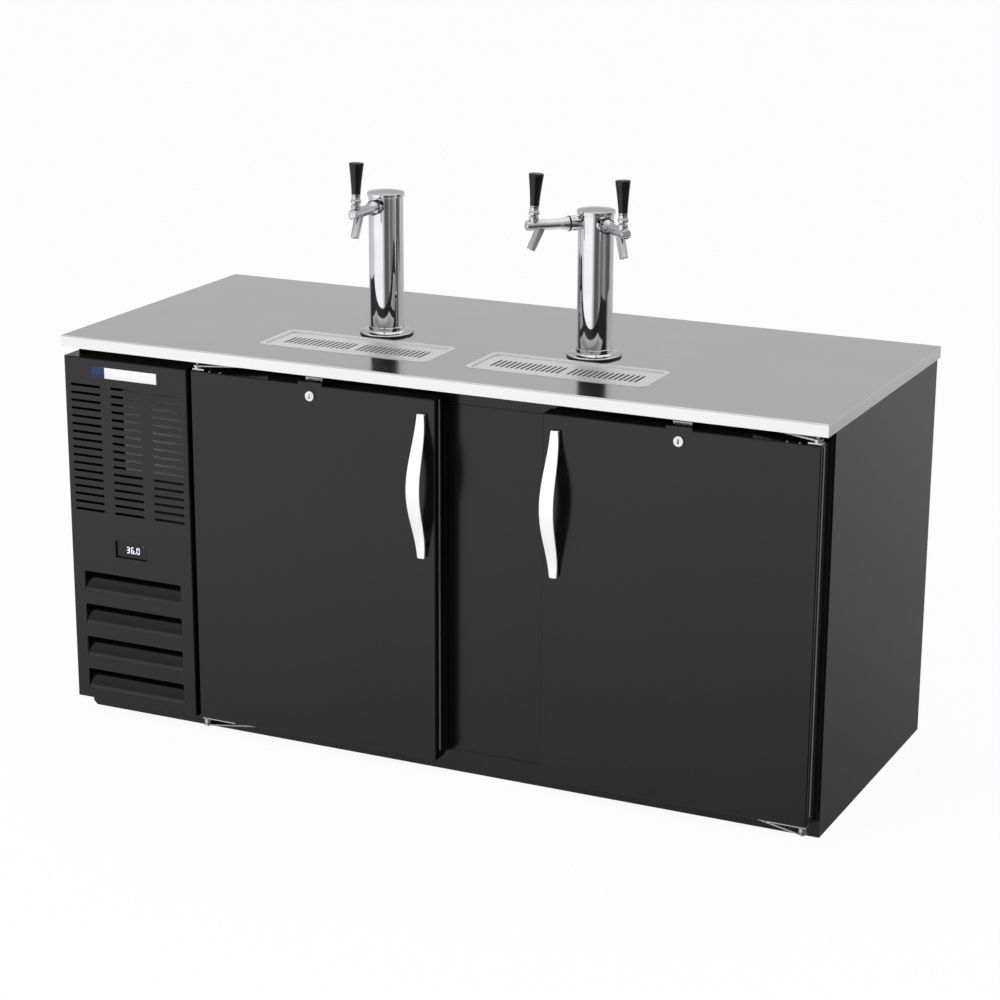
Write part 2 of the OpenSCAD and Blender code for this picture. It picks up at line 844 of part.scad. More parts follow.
module compressor() {
    r = compressor_d / 2;
    z0 = sill_z + compressor_foot_h;
    shell_z = z0 + compressor_plate[2];
    mid = compressor_h / 2;
    dome_z = compressor_h - shell_dome;
    foot_x = compressor_plate[0] / 2 - compressor_foot_in;
    foot_y = compressor_plate[1] / 2 - compressor_foot_in;
    stub_z0 = shell_z + dome_z;
    stub_z1 = shell_z + compressor_h + stub_len;
    color(dark) translate([fan_x, machine_y, 0]) {
        for (sx = [-1, 1], sy = [-1, 1]) translate([sx * foot_x, sy * foot_y, 0])
            rod_z(sill_z, z0 + over, compressor_foot_r);
        translate([-compressor_plate[0] / 2, -compressor_plate[1] / 2, z0]) cube(compressor_plate);
        translate([0, 0, shell_z]) rotate_extrude()
            polygon(concat([[0, 0], [r - shell_round, 0], [r, shell_round]],
                [[r, mid - shell_seam], [r + shell_seam, mid - shell_seam],
                    [r + shell_seam, mid + shell_seam], [r, mid + shell_seam]],
                [for (k = [0 : 8]) [r * cos(k * 11.25), dome_z + shell_dome * sin(k * 11.25)]]));
        translate([0, 0, shell_z + mid - terminal_h / 2])
            block([r - terminal_in, -terminal_w / 2, 0], [r + terminal_out, terminal_w / 2, terminal_h]);
        translate([-r / 2, -r / 3, 0]) rod_z(stub_z0, stub_z1, suction_r);
        translate([-r / 5, r / 2, 0]) rod_z(stub_z0, stub_z1, charge_r);
    }
}

module condenser() {
    x0 = fan_x - condenser_w / 2;
    span = condenser_w - condenser_fin_t;
    color("#9a9da0") {
        for (k = [0 : condenser_fins - 1]) {
            x = x0 + k * span / (condenser_fins - 1);
            block([x, condenser_y, sill_z], [x + condenser_fin_t, shroud_y, sill_z + condenser_h]);
        }
        for (k = [0 : condenser_tubes - 1])
            translate([0, condenser_y + condenser_d / 2, sill_z + condenser_h * (k + 0.5) / condenser_tubes])
                rod_x(x0, x0 + condenser_w, condenser_tube_d / 2);
    }
}

module fan_bracket() {
    motor_y = fan_y + fan_hub_len + fan_motor_gap;
    stand_y = motor_y + motor_len / 2;
    x0 = fan_x - stand_w / 2;
    x1 = fan_x + stand_w / 2;
    color(grey) {
        facing(shroud_y, shroud_y + shroud_t) difference() {
            translate([fan_x - condenser_w / 2, sill_z]) square([condenser_w, condenser_h]);
            translate([fan_x, fan_z]) circle(fan_d / 2 + fan_ring_gap);
        }
        block([x0, shroud_y, sill_z], [x1, stand_y + stand_t, sill_z + stand_floor_t]);
        block([x0, stand_y, sill_z], [x1, stand_y + stand_t, fan_z]);
        translate([fan_x, 0, fan_z]) {
            rod_y(motor_y, motor_y + motor_len, motor_d / 2);
            rod_y(fan_y, motor_y + over, fan_shaft_d / 2);
        }
    }
}

// A bladed wheel on the Z axis, with a bore for its shaft
module fan_wheel(tip_d, hub_d, hub_len, bore_d) {
    chord = tip_d * 0.3;
    difference() {
        union() {
            rod_z(0, hub_len, hub_d / 2);
            intersection() {
                rod_z(-over, hub_len + over, tip_d / 2);
                for (k = [0 : fan_blades - 1])
                    rotate([0, 0, k * 360 / fan_blades]) translate([hub_d / 2 - blade_root, 0, hub_len / 2])
                        rotate([blade_pitch, 0, 0])
                            translate([0, -chord / 2, -blade_t / 2]) cube([tip_d / 2, chord, blade_t]);
            }
        }
        rod_z(-over, hub_len + over, bore_d / 2);
    }
}

module condenser_fan() {
    color(dark) translate([fan_x, fan_y, fan_z]) rotate([-90, 0, 0])
        fan_wheel(fan_d, fan_hub_d, fan_hub_len, fan_shaft_d + 2 * run_fit);
}

module evaporator() {
    face_x = keg_x0 + evap_reach;
    motor_x = keg_x0 + coil_d;
    shaft_x = evap_fan_x + evap_hub_len + evap_shaft_past;
    slot_top = evap_fan_z - evap_motor_d / 2 - coil_stop;
    color("#c6c8ca") difference() {
        union() {
            difference() {
                block([keg_x0, evap_y0, evap_z0], [face_x, evap_y0 + evap_d, evap_z1]);
                block([motor_x, evap_y0 + sheet_t, evap_z0 - over],
                    [face_x - sheet_t, evap_y0 + evap_d - sheet_t, evap_z1 - sheet_t]);
                translate([0, evap_fan_y, evap_fan_z])
                    rod_x(face_x - sheet_t - over, face_x + over, evap_fan_d / 2 + fan_ring_gap / 2);
            }
            translate([0, evap_fan_y, evap_fan_z]) {
                rod_x(motor_x - over, motor_x + evap_motor_len, evap_motor_d / 2);
                rod_x(motor_x, shaft_x, fan_shaft_d / 2);
            }
        }
        for (k = [1 : coil_slots]) translate([0, evap_y0 + k * evap_d / (coil_slots + 1), 0])
            block([keg_x0 + coil_back, -coil_slot_w / 2, evap_z0 - over],
                [motor_x + over, coil_slot_w / 2, slot_top]);
    }
}

module evaporator_fan() {
    color(dark) translate([evap_fan_x, evap_fan_y, evap_fan_z]) rotate([0, 90, 0])
        fan_wheel(evap_fan_d, evap_hub_d, evap_hub_len, fan_shaft_d + 2 * run_fit);
}

// Drip trays

// One tray: a pressed rim with a ledge for the grid, over a basin of four walls and a floor with a drain
module drip_pan(side) {
    floor_z = counter_h - pan_deep;
    ledge_z = counter_h - ledge_drop;
    wall_z0 = floor_z + pan_seam;
    wall_z1 = ledge_z - tray_t - pan_seam;
    half_w = basin_w / 2;
    half_d = basin_d / 2;
    color(bright) translate([side * tray_x, tray_y, 0]) {
        difference() {
            union() {
                translate([0, 0, counter_h]) linear_extrude(tray_t) rounded_rect(tray_w, tray_d, tray_r);
                translate([0, 0, ledge_z - tray_t]) linear_extrude(ledge_drop + tray_t)
                    rounded_rect(well_w + 2 * tray_t, well_d + 2 * tray_t, well_r + tray_t);
            }
            translate([0, 0, ledge_z]) linear_extrude(ledge_drop + tray_t + over)
                rounded_rect(well_w, well_d, well_r);
            block([-half_w, -half_d, ledge_z - tray_t - over], [half_w, half_d, counter_h]);
        }
        for (end = [0, 1]) {
            mirror([end, 0, 0])
                block([half_w, -half_d + pan_seam, wall_z0], [half_w + tray_t, half_d - pan_seam, wall_z1]);
            mirror([0, end, 0])
                block([-half_w - tray_t, half_d, wall_z0], [half_w + tray_t, half_d + tray_t, wall_z1]);
        }
        difference() {
            union() {
                block([-half_w - tray_t, -half_d - tray_t, floor_z - tray_t],
                    [half_w + tray_t, half_d + tray_t, floor_z]);
                rod_z(rail_z - drain_len, floor_z, drain_d / 2);
            }
            rod_z(rail_z - drain_len - over, floor_z + over, drain_d / 2 - drain_wall);
        }
    }
}

module drip_pan_left() { drip_pan(-1); }
module drip_pan_right() { drip_pan(1); }

module drip_grid(side) {
    half_span = grid_middle / 2 + (grid_slots - 1) * grid_pitch;
    color(bright) translate([side * tray_x, tray_y, counter_h - ledge_drop])
        linear_extrude(grid_t) difference() {
            rounded_rect(well_w - 2 * grid_gap, well_d - 2 * grid_gap, well_r - grid_gap);
            for (half = [-1, 1], k = [0 : grid_slots - 1])
                translate([half * (half_span - k * grid_pitch), 0]) rotate(90)
                    slot_shape(grid_slot_len, grid_slot_w);
        }
}

module drip_grid_left() { drip_grid(-1); }
module drip_grid_right() { drip_grid(1); }

// Hinges, keepers and doors

// One bracket: a long plate with a pin that points down, carried by a leg on the cabinet's front
module hinge_bracket(gap, leg_low, leg_high) {
    z = door_z1 + hinge_plate_t + gap;
    translate([0, 0, z]) linear_extrude(bracket_t) {
        translate([hinge_in, hinge_y]) circle(bracket_r);
        polygon([[hinge_in - bracket_r * 0.7, hinge_y + bracket_r * 0.7], [bracket_x0 + bracket_in, front_y],
            [bracket_x0 + bracket_len, front_y], [hinge_in + bracket_r * 0.35, hinge_y - bracket_r * 0.9]]);
    }
    block([bracket_x0 + bracket_in, front_y - bracket_t, z + leg_low],
        [bracket_x0 + bracket_len, front_y, z + leg_high]);
    translate([hinge_in, hinge_y, 0]) {
        rod_z(door_z1 + hinge_plate_t + clear, z + over, washer_r);
        rod_z(door_z1 - hinge_pin_len, z + bracket_t + pin_head, pin_r);
    }
}

module upper_bracket() { hinge_bracket(bracket_gap, 0, bracket_leg); }

// The lower bracket is turned over at the door's foot, with its leg up behind the door
module lower_bracket() {
    translate([0, 0, door_z0 + door_z1]) mirror([0, 0, 1])
        hinge_bracket(bracket_drop, -bracket_leg, bracket_t);
}

module hinge_brackets() {
    color(bright) on_both_doors() {
        upper_bracket();
        lower_bracket();
    }
}

// One keeper: a lip that the cam turns up behind, on a shelf from the cabinet's front
module lock_keepers() {
    shelf_z = door_z1 + keeper_gap + keeper_lip;
    color(bright) on_both_doors() {
        block([lock_x - keeper_w / 2, keeper_y, door_z1 + keeper_gap],
            [lock_x + keeper_w / 2, keeper_y + keeper_t, shelf_z + keeper_t]);
        block([lock_x - keeper_w / 2, keeper_y, shelf_z],
            [lock_x + keeper_w / 2, front_y, shelf_z + keeper_t]);
    }
}

module door_skin() {
    difference() {
        union() {
            nosed_box([0, door_y, door_z0], [door_w, liner_y, door_z1], door_edge_r);
            block([lock_x - lock_tab_w / 2, door_y, door_z1 - 2 * door_edge_r],
                [lock_x + lock_tab_w / 2, door_y + lock_tab_t, door_z1 + lock_tab_h]);
        }
        translate([hinge_in, hinge_y, 0]) {
            rod_z(door_z1 - hinge_pin_len - pin_room, door_z1 + over, pin_r + 2 * clear);
            rod_z(door_z0 - over, door_z0 + hinge_pin_len + pin_room, pin_r + 2 * clear);
        }
        translate([lock_x, 0, lock_z]) {
            rod_y(door_y - over, cam_y, plug_d / 2 + lock_wall + seat_fit);
            rod_y(door_y + lock_len, cam_y + cam_t + 2 * cam_gap, cam_len + cam_room);
        }
    }
}

module door_liner() {
    facing(liner_y, gasket_y)
        translate([liner_edge, door_z0 + liner_edge])
            square([door_w - 2 * liner_edge, door_h - 2 * liner_edge]);
    facing(gasket_y - over, gasket_y + liner_rise)
        translate([door_w / 2, door_z0 + door_h / 2])
            rounded_rect(door_w - 2 * liner_inset, door_h - 2 * liner_inset, liner_r);
}

module door_gasket() {
    lip = gasket_w * 0.3;
    x0 = gasket_hinge_edge;
    x1 = door_w - gasket_edge;
    z0 = door_z0 + gasket_edge;
    z1 = door_z1 - gasket_edge;
    difference() {
        block([x0, gasket_y, z0], [x1, front_y - gasket_gap, z1]);
        block([x0 + gasket_w, gasket_y - over, z0 + gasket_w], [x1 - gasket_w, front_y, z1 - gasket_w]);
        difference() {
            block([x0 - over, gasket_y + lip, z0 - over], [x1 + over, gasket_y + 2 * lip, z1 + over]);
            block([x0 + lip / 2, gasket_y, z0 + lip / 2], [x1 - lip / 2, front_y, z1 - lip / 2]);
        }
    }
}

// A strip bent to an arc and drawn in to its ends, on a wedge-shaped foot at each end
module door_handle() {
    translate([handle_x, 0, handle_z]) {
        intersection() {
            difference() {
                translate([0, bow_y, 0]) rotate([0, 90, 0])
                    cylinder(h = 2 * handle_w, r = bow_r, center = true, $fn = big_fn);
                translate([0, bow_y, 0]) rotate([0, 90, 0])
                    cylinder(h = 3 * handle_w, r = bow_r - handle_t, center = true, $fn = big_fn);
            }
            block([-handle_w, door_y - handle_reach - over, -handle_half], [handle_w, door_y, handle_half]);
            for_lens() translate([0, door_y, 0]) rotate([90, 0, 0])
                cylinder(h = 4 * handle_reach, r = taper_r, center = true, $fn = big_fn);
        }
        intersection() {
            for (end = [-1, 1]) sideways(-foot_w / 2, foot_w / 2)
                polygon([[door_y, end * handle_half], [door_y, end * (handle_half - foot_h)],
                    [door_y - foot_deep, end * (handle_half - foot_h * 0.7)],
                    [door_y - foot_deep, end * handle_half]]);
            translate([0, bow_y, 0]) rotate([0, 90, 0])
                cylinder(h = handle_w, r = bow_r - handle_t / 2, center = true, $fn = big_fn);
        }
    }
}

// The overlap of two shapes set apart so that they meet at the handle's half width
module for_lens() {
    offset_x = taper_r - handle_w / 2;
    intersection() {
        translate([offset_x, 0, 0]) children();
        translate([-offset_x, 0, 0]) children();
    }
}

module lock_barrel() {
    bore = plug_d / 2 + run_fit;
    barrel = plug_d / 2 + lock_wall;
    ring = lock_d / 2;
    translate([lock_x, door_y, lock_z]) rotate([90, 0, 0]) rotate_extrude()
        polygon([[bore, -lock_len], [barrel, -lock_len], [barrel, 0], [ring, 0],
            [ring, lock_proud - lock_bevel], [ring - lock_bevel, lock_proud], [bore, lock_proud]]);
}

module lock_plug() {
    face_y = door_y - lock_proud - over;
    translate([lock_x, 0, lock_z]) {
        difference() {
            rod_y(face_y, cam_y + cam_t, plug_d / 2);
            block([-key_w / 2, face_y - over, -key_h / 2], [key_w / 2, face_y + key_deep, key_h / 2]);
        }
        block([0, cam_y, -cam_w / 2], [cam_len - cam_w / 2, cam_y + cam_t, cam_w / 2]);
        translate([cam_len - cam_w / 2, 0, 0]) rod_y(cam_y, cam_y + cam_t, cam_w / 2);
    }
}

module hinge_plate(z, length) {
    difference() {
        block([plate_edge, hinge_y - hinge_back / 2, z],
            [plate_edge + length, hinge_y + hinge_back, z + hinge_plate_t]);
        translate([hinge_in, hinge_y, 0]) rod_z(z - over, z + hinge_plate_t + over, pin_r + run_fit);
    }
}

module hinge_plates() {
    hinge_plate(door_z1, hinge_plate_len);
    hinge_plate(door_z0 - hinge_plate_t, foot_plate_len);
}

module left_door_skin() { color(black) on_left_door() door_skin(); }
module right_door_skin() { color(black) on_right_door() door_skin(); }
module left_door_liner() { color("#c4c6c8") on_left_door() door_liner(); }
module right_door_liner() { color("#c4c6c8") on_right_door() door_liner(); }
module left_gasket() { color(dark) on_left_door() door_gasket(); }
module right_gasket() { color(dark) on_right_door() door_gasket(); }
module left_handle() { color(chrome) on_left_door() door_handle(); }
module right_handle() { color(chrome) on_right_door() door_handle(); }
module left_lock_barrel() { color(chrome) on_left_door() lock_barrel(); }
module right_lock_barrel() { color(chrome) on_right_door() lock_barrel(); }
module left_lock_plug() { color(chrome) on_left_door() lock_plug(); }
module right_lock_plug() { color(chrome) on_right_door() lock_plug(); }
module left_hinge_plates() { color(bright) on_left_door() hinge_plates(); }
module right_hinge_plates() { color(bright) on_right_door() hinge_plates(); }

// Towers

module tower_column(side) {
    color(chrome) difference() {
        on_tower(side) difference() {
            rod_z(column_z, column_z1, column_r);
            rod_z(column_z - over, column_z1 + over, column_r - column_wall);
        }
        for (k = [0 : len(tap_dir) - 1]) if (tap_tower[k] == side)
            on_tap(k) rod_x(0, column_d, shank_r + seat_fit);
    }
}

module tower_caps() {
    rim = cap_r - cap_lip;
    skirt = column_z1 - cap_h + cap_plate;
    color(chrome) on_both_towers() difference() {
        translate([0, 0, skirt]) rotate_extrude()
            polygon(concat([[0, 0], [cap_r - cap_lip / 2, 0], [cap_r, cap_lip / 2]],
                [for (k = [0 : 3]) [rim + cap_lip * cos(k * 30), cap_h - cap_lip + cap_lip * sin(k * 30)]],
                [for (k = [1 : 6]) let (t = 1 - k / 6) [rim * t, cap_h + cap_dome * (1 - t * t)]]));
        rod_z(skirt - over, column_z1, column_r + seat_fit);
    }
}

module tower_flanges() {
    lip = flange_t / 2;
    outer = flange_d / 2;
    top = flange_t + collar_h;
    color(chrome) on_both_towers() difference() {
        translate([0, 0, flange_z]) rotate_extrude()
            polygon(concat([[0, 0], [outer, 0]],
                [for (k = [0 : 4]) [outer - lip + lip * cos(k * 22.5), lip + lip * sin(k * 22.5)]],
                [[collar_r + fillet_w, flange_t + flange_crown], [collar_r, flange_t + fillet_h],
                    [collar_r, top - collar_edge], [collar_r - collar_edge, top], [0, top]]));
        rod_z(flange_z - over, flange_z + top + over, column_r - column_wall - flange_seat);
        rod_z(column_z, flange_z + top + over, column_r + seat_fit);
    }
}

module tower_gaskets() {
    color(dark) on_both_towers() difference() {
        rod_z(counter_h, flange_z, flange_d / 2 - gasket_trim);
        rod_z(counter_h - over, flange_z + over, column_r - column_wall - flange_seat);
    }
}

module left_tower_column() { tower_column(-1); }
module right_tower_column() { tower_column(1); }

// Taps

// Threaded tube through the column, with a saddle collar outside and a lock nut inside
module shank() {
    inner_r = column_r - column_wall;
    lock_nut_r = nut_r - lock_nut_step;
    nut_u = sqrt(inner_r * inner_r - nut_r * nut_r) - clear;
    difference() {
        union() {
            rod_x(shank_tail, joint_u, shank_r);
            rod_x(column_r - saddle_sink, nut_u0, nut_r - saddle_step);
        }
        rod_x(shank_tail - over, joint_u + over, shank_bore_d / 2);
        translate([0, 0, -column_d]) difference() {
            rod_z(0, 2 * column_d, column_r + seat_fit / 2);
            translate([0, 0, column_d]) rod_x(0, column_d, shank_r);
        }
    }
    difference() {
        translate([nut_u - lock_nut_len, 0, 0]) rotate([0, 90, 0])
            cylinder(h = lock_nut_len, r = lock_nut_r, $fn = 6);
        rod_x(0, column_d, shank_r - over);
    }
}

module shanks() { color(chrome) on_all_taps() shank(); }

module coupling_nut() {
    difference() {
        rotate([0, 90, 0]) rotate_extrude()
            polygon([[0, nut_u0], [nut_r - nut_edge, nut_u0], [nut_r, nut_u0 + nut_edge],
                [nut_r, nut_u1 - nut_edge], [nut_r - nut_edge, nut_u1], [0, nut_u1]]);
        rod_x(nut_u0 - over, nut_u1 + over, shank_r + seat_fit);
        rod_x(joint_u, nut_u1 + over, spigot_r + seat_fit);
        for (k = [0 : nut_notches - 1]) rotate([k * 360 / nut_notches, 0, 0])
            block([nut_u0 + nut_len * 0.3, -notch_w / 2, nut_r - notch_deep],
                [nut_u0 + nut_len * 0.7, notch_w / 2, nut_r + notch_deep]);
    }
}

module coupling_nuts() { color(chrome) on_all_taps() coupling_nut(); }

// Room that the lever's tip sweeps through below its ball: x and z are measured from under the pivot
module lever_sweep() {
    tip_half = tip_r + clear;
    back = pivot_h * tan(lever_pull - lever_lean) + tip_half / cos(lever_pull - lever_lean);
    ahead = pivot_h * tan(lever_lean) + tip_half;
    facing(-tip_half, tip_half)
        polygon([[-back, 0], [ahead, 0], [tip_half, pivot_h],
            [-tip_half / cos(lever_pull - lever_lean), pivot_h]]);
}

// Tap body: a tube that flares back to the coupling nut, a boss for the lever and a slanted spout
module tap_body(k) {
    flare_steps = 8;
    flare = [for (i = [0 : flare_steps]) let (t = i / flare_steps)
        [tap_r + (nut_r - tap_r) * pow(1 - t, 2), nut_u1 + t * flare_len]];
    tip = [for (i = [0 : 4])
        [tap_r - tap_nose + tap_nose * cos(i * 22.5), tap_reach - tap_nose + tap_nose * sin(i * 22.5)]];
    color(chrome) on_tap(k) difference() {
        union() {
            rotate([0, 90, 0]) rotate_extrude()
                polygon(concat([[0, joint_u], [spigot_r, joint_u], [spigot_r, nut_u1]], flare, tip,
                    [[0, tap_reach]]));
            translate([lever_reach, 0, 0]) rod_z(0, boss_top, boss_r);
            translate([spout_u0, 0, 0]) rotate([0, 180 - spout_slant, 0])
                cylinder(h = spout_len, r1 = spout_d / 2 + spout_flare, r2 = spout_d / 2);
        }
        rod_x(joint_u - over, seat_u, spigot_r - inlet_wall);
        rod_x(joint_u, seat_u + seat_t + over, seat_d / 2);
        rod_x(seat_u + seat_t, tap_reach - chamber_end, chamber_d / 2);
        translate([lever_reach, 0, 0]) {
            rod_z(0, boss_top + over, socket_r);
            lever_sweep();
        }
        translate([spout_u0, 0, 0]) rotate([0, 180 - spout_slant, 0])
            cylinder(h = spout_len + over, r = spout_d / 2 - spout_wall);
    }
}

module tap_body_1() { tap_body(0); }
module tap_body_2() { tap_body(1); }
module tap_body_3() { tap_body(2); }

module bonnet() {
    r = bonnet_d / 2;
    mid = (boss_top + bonnet_top) / 2;
    translate([lever_reach, 0, 0]) difference() {
        rotate_extrude() polygon([[0, boss_top], [boss_r, boss_top], [r, boss_top + bonnet_lap],
            [r, mid - bonnet_groove], [r - bonnet_groove_d, mid], [r, mid + bonnet_groove],
            [r, bonnet_top - bonnet_edge], [r - bonnet_edge, bonnet_top], [0, bonnet_top]]);
        rod_z(boss_top - over, bonnet_top + over, socket_r);
    }
}

module bonnets() { color(chrome) on_all_taps() bonnet(); }

// Places what tilts with the lever: z = 0 is the pivot
module on_lever(k) {
    on_tap(k) translate([lever_reach, 0, pivot_h]) rotate([0, -lever_lean, 0]) children();
}

module tap_lever(k) {
    low = ferrule_low - pivot_h;
    high = knob_low - pivot_h;
    tall = high - low;
    r = ferrule_d / 2;
    edge = ferrule_waist;
    waist = r - ferrule_waist;
    color(chrome) on_lever(k) {
        sphere(d = ball_d);
        rod_z(tip_low - pivot_h, 0, tip_r);
        rod_z(0, high + knob_h * 0.3, stem_r);
        translate([0, 0, low]) rotate_extrude()
            polygon([[0, 0], [r - ferrule_edge, 0], [r, ferrule_edge], [r, ferrule_ring],
                [waist, ferrule_ring + edge], [waist, tall - 3 * edge], [r, tall - 2 * edge], [r, tall],
                [0, tall]]);
    }
}

module tap_lever_1() { tap_lever(0); }
module tap_lever_2() { tap_lever(1); }
module tap_lever_3() { tap_lever(2); }

module tap_knob(k) {
    high = knob_low - pivot_h;
    r0 = knob_foot_d / 2;
    r1 = knob_top_d / 2;
    side = [for (i = [0 : 8]) let (t = i / 8) [r0 + (r1 - r0) * pow(t, 1.3), t * (knob_h - knob_bevel)]];
    color(dark) on_lever(k) difference() {
        translate([0, 0, high]) rotate_extrude()
            polygon(concat([[0, 0]], side, [[r1 - knob_bevel, knob_h], [0, knob_h]]));
        rod_z(high - over, high + knob_h * 0.3, stem_r + seat_fit);
    }
}

module tap_knob_1() { tap_knob(0); }
module tap_knob_2() { tap_knob(1); }
module tap_knob_3() { tap_knob(2); }

// Valve shaft: a washer behind the seat, a thin rod and a slotted guide for the lever's tip
module plunger(k) {
    mid = lever_reach + tip_shift;
    color("#b9a06a") on_tap(k) difference() {
        union() {
            rod_x(seat_u - washer_t - clear / 2, seat_u - clear / 2, spigot_r - washer_lap);
            rod_x(seat_u - washer_t, mid, plunger_rod_d / 2);
            rod_x(mid - guide_half, mid + guide_half, chamber_d / 2 - run_fit);
        }
        block([mid - slot_half, -tip_r - clear, -chamber_d], [mid + slot_half, tip_r + clear, chamber_d]);
    }
}

module plunger_1() { plunger(0); }
module plunger_2() { plunger(1); }
module plunger_3() { plunger(2); }

base();
right_wall();
rear_wall();
partition_wall();
ceiling_panel();
centre_post();
machine_side_panel();
machine_rear_panel();
countertop();
counter_core();
machine_panel();
controller();
display_window();
electrical_box();
compressor();
condenser();
fan_bracket();
condenser_fan();
evaporator();
evaporator_fan();
drip_pan_left();
drip_pan_right();
drip_grid_left();
drip_grid_right();
hinge_brackets();
lock_keepers();
left_door_skin();
right_door_skin();
left_door_liner();
right_door_liner();
left_gasket();
right_gasket();
left_handle();
right_handle();
left_lock_barrel();
right_lock_barrel();
left_lock_plug();
right_lock_plug();
left_hinge_plates();
right_hinge_plates();
left_tower_column();
right_tower_column();
tower_caps();
tower_flanges();
tower_gaskets();
shanks();
coupling_nuts();
bonnets();
tap_body_1();
tap_body_2();
tap_body_3();
tap_lever_1();
tap_lever_2();
tap_lever_3();
tap_knob_1();
tap_knob_2();
tap_knob_3();
plunger_1();
plunger_2();
plunger_3();
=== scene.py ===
"""Looks of the draft beer dispenser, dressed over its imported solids. Sizes are in millimetres unless said."""

import json
import math

import bmesh
import bpy
from mathutils import Matrix, Vector


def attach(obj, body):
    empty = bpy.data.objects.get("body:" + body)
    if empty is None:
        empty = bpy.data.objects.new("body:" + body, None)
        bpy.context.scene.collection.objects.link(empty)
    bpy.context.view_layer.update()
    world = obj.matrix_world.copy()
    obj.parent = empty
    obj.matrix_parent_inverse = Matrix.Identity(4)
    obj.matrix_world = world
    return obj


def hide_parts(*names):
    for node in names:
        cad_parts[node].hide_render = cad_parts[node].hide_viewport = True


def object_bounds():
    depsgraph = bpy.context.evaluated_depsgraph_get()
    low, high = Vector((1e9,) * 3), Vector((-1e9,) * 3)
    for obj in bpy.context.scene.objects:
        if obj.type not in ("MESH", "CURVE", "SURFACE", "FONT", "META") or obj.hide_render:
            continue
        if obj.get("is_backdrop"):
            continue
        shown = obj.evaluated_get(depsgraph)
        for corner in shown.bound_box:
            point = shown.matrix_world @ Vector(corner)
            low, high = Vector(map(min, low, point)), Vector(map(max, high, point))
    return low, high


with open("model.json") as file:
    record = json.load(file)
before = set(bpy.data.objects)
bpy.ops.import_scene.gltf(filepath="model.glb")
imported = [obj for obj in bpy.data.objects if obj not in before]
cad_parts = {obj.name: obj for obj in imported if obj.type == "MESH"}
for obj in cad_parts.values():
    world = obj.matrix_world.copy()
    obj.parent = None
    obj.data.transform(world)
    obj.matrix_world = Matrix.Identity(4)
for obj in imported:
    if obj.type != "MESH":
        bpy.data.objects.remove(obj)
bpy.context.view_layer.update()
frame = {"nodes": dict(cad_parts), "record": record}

MM = 0.001

# Places on the cabinet
CABINET_FRONT = -352.5
DOOR_FRONT = -412.5
PANEL_MIDDLE = -748
TOWER_PLACES = (-257, 257)
TOWER_Y = -72.5
TRAY_Y = -217.5
WINDOW_FRONT = -407.5
DISPLAY_Z = 421
HANDLE_Z = 672.5

UP = Matrix.Identity(4)
# Turns a shape drawn in X and Y, with Z towards the viewer, so that it stands on a front face
STANDING = Matrix.Rotation(math.radians(90), 4, "X")


# Nodes and meshes

def linear(code):
    """An sRGB hex colour as linear red, green, blue and alpha."""
    parts = [int(code[k:k + 2], 16) / 255 for k in (1, 3, 5)]
    return [c / 12.92 if c <= 0.04045 else ((c + 0.055) / 1.055) ** 2.4 for c in parts] + [1.0]


def per(size):
    """Texture scale that repeats once in this many millimetres."""
    return 1 / (size * MM)


def add(tree, kind, settings=None, inputs=None):
    """Adds one shader node, sets it, fills its sockets with values or links, and gives it back."""
    node = tree.nodes.new("ShaderNode" + kind)
    for key, value in (settings or {}).items():
        if key == "stops":
            ramp = node.color_ramp.elements
            while len(ramp) < len(value):
                ramp.new(0.5)
            for element, (place, colour) in zip(ramp, value):
                element.position = place
                element.color = colour
        else:
            setattr(node, key, value)
    for key, value in (inputs or {}).items():
        if isinstance(value, bpy.types.NodeSocket):
            tree.links.new(value, node.inputs[key])
        else:
            node.inputs[key].default_value = value
    return node


def grey(level):
    return (level, level, level, 1.0)


def finish_of(name, sockets):
    """A new material with one Principled shader. Gives its node tree, its shader and Object coordinates."""
    material = bpy.data.materials.new(name)
    material.use_nodes = True
    tree = material.node_tree
    tree.nodes.clear()
    shader = add(tree, "BsdfPrincipled", inputs=sockets)
    add(tree, "OutputMaterial", inputs={"Surface": shader.outputs["BSDF"]})
    place = add(tree, "TexCoord").outputs["Object"]
    return material, tree, shader, place


def link(tree, shader, sockets):
    for key, socket in sockets.items():
        tree.links.new(socket, shader.inputs[key])


def black_powder_coat():
    # Sheet steel, powder coated: baked resin flows into a fine orange peel, so highlights are soft and a little
    # uneven. The real peel is about 1.5 mm across and is drawn at 7 mm so that it shows.
    material, tree, shader, place = finish_of("sheet_steel_black_powder_coat", {"IOR": 1.5})
    cloud = add(tree, "TexNoise", inputs={"Vector": place, "Scale": per(260), "Detail": 2})
    tone = add(tree, "ValToRGB", {"stops": [(0.3, linear("#0a0a0b")), (0.7, linear("#0f0f10"))]},
               {"Fac": cloud.outputs["Fac"]})
    peel = add(tree, "TexNoise", inputs={"Vector": place, "Scale": per(7), "Detail": 1})
    rough = add(tree, "MapRange", inputs={"Value": cloud.outputs["Fac"], "To Min": 0.16, "To Max": 0.21})
    bump = add(tree, "Bump", inputs={"Height": peel.outputs["Fac"], "Strength": 0.05, "Distance": 0.2 * MM})
    link(tree, shader, {"Base Color": tone.outputs["Color"], "Roughness": rough.outputs["Result"],
                        "Normal": bump.outputs["Normal"]})
    return material


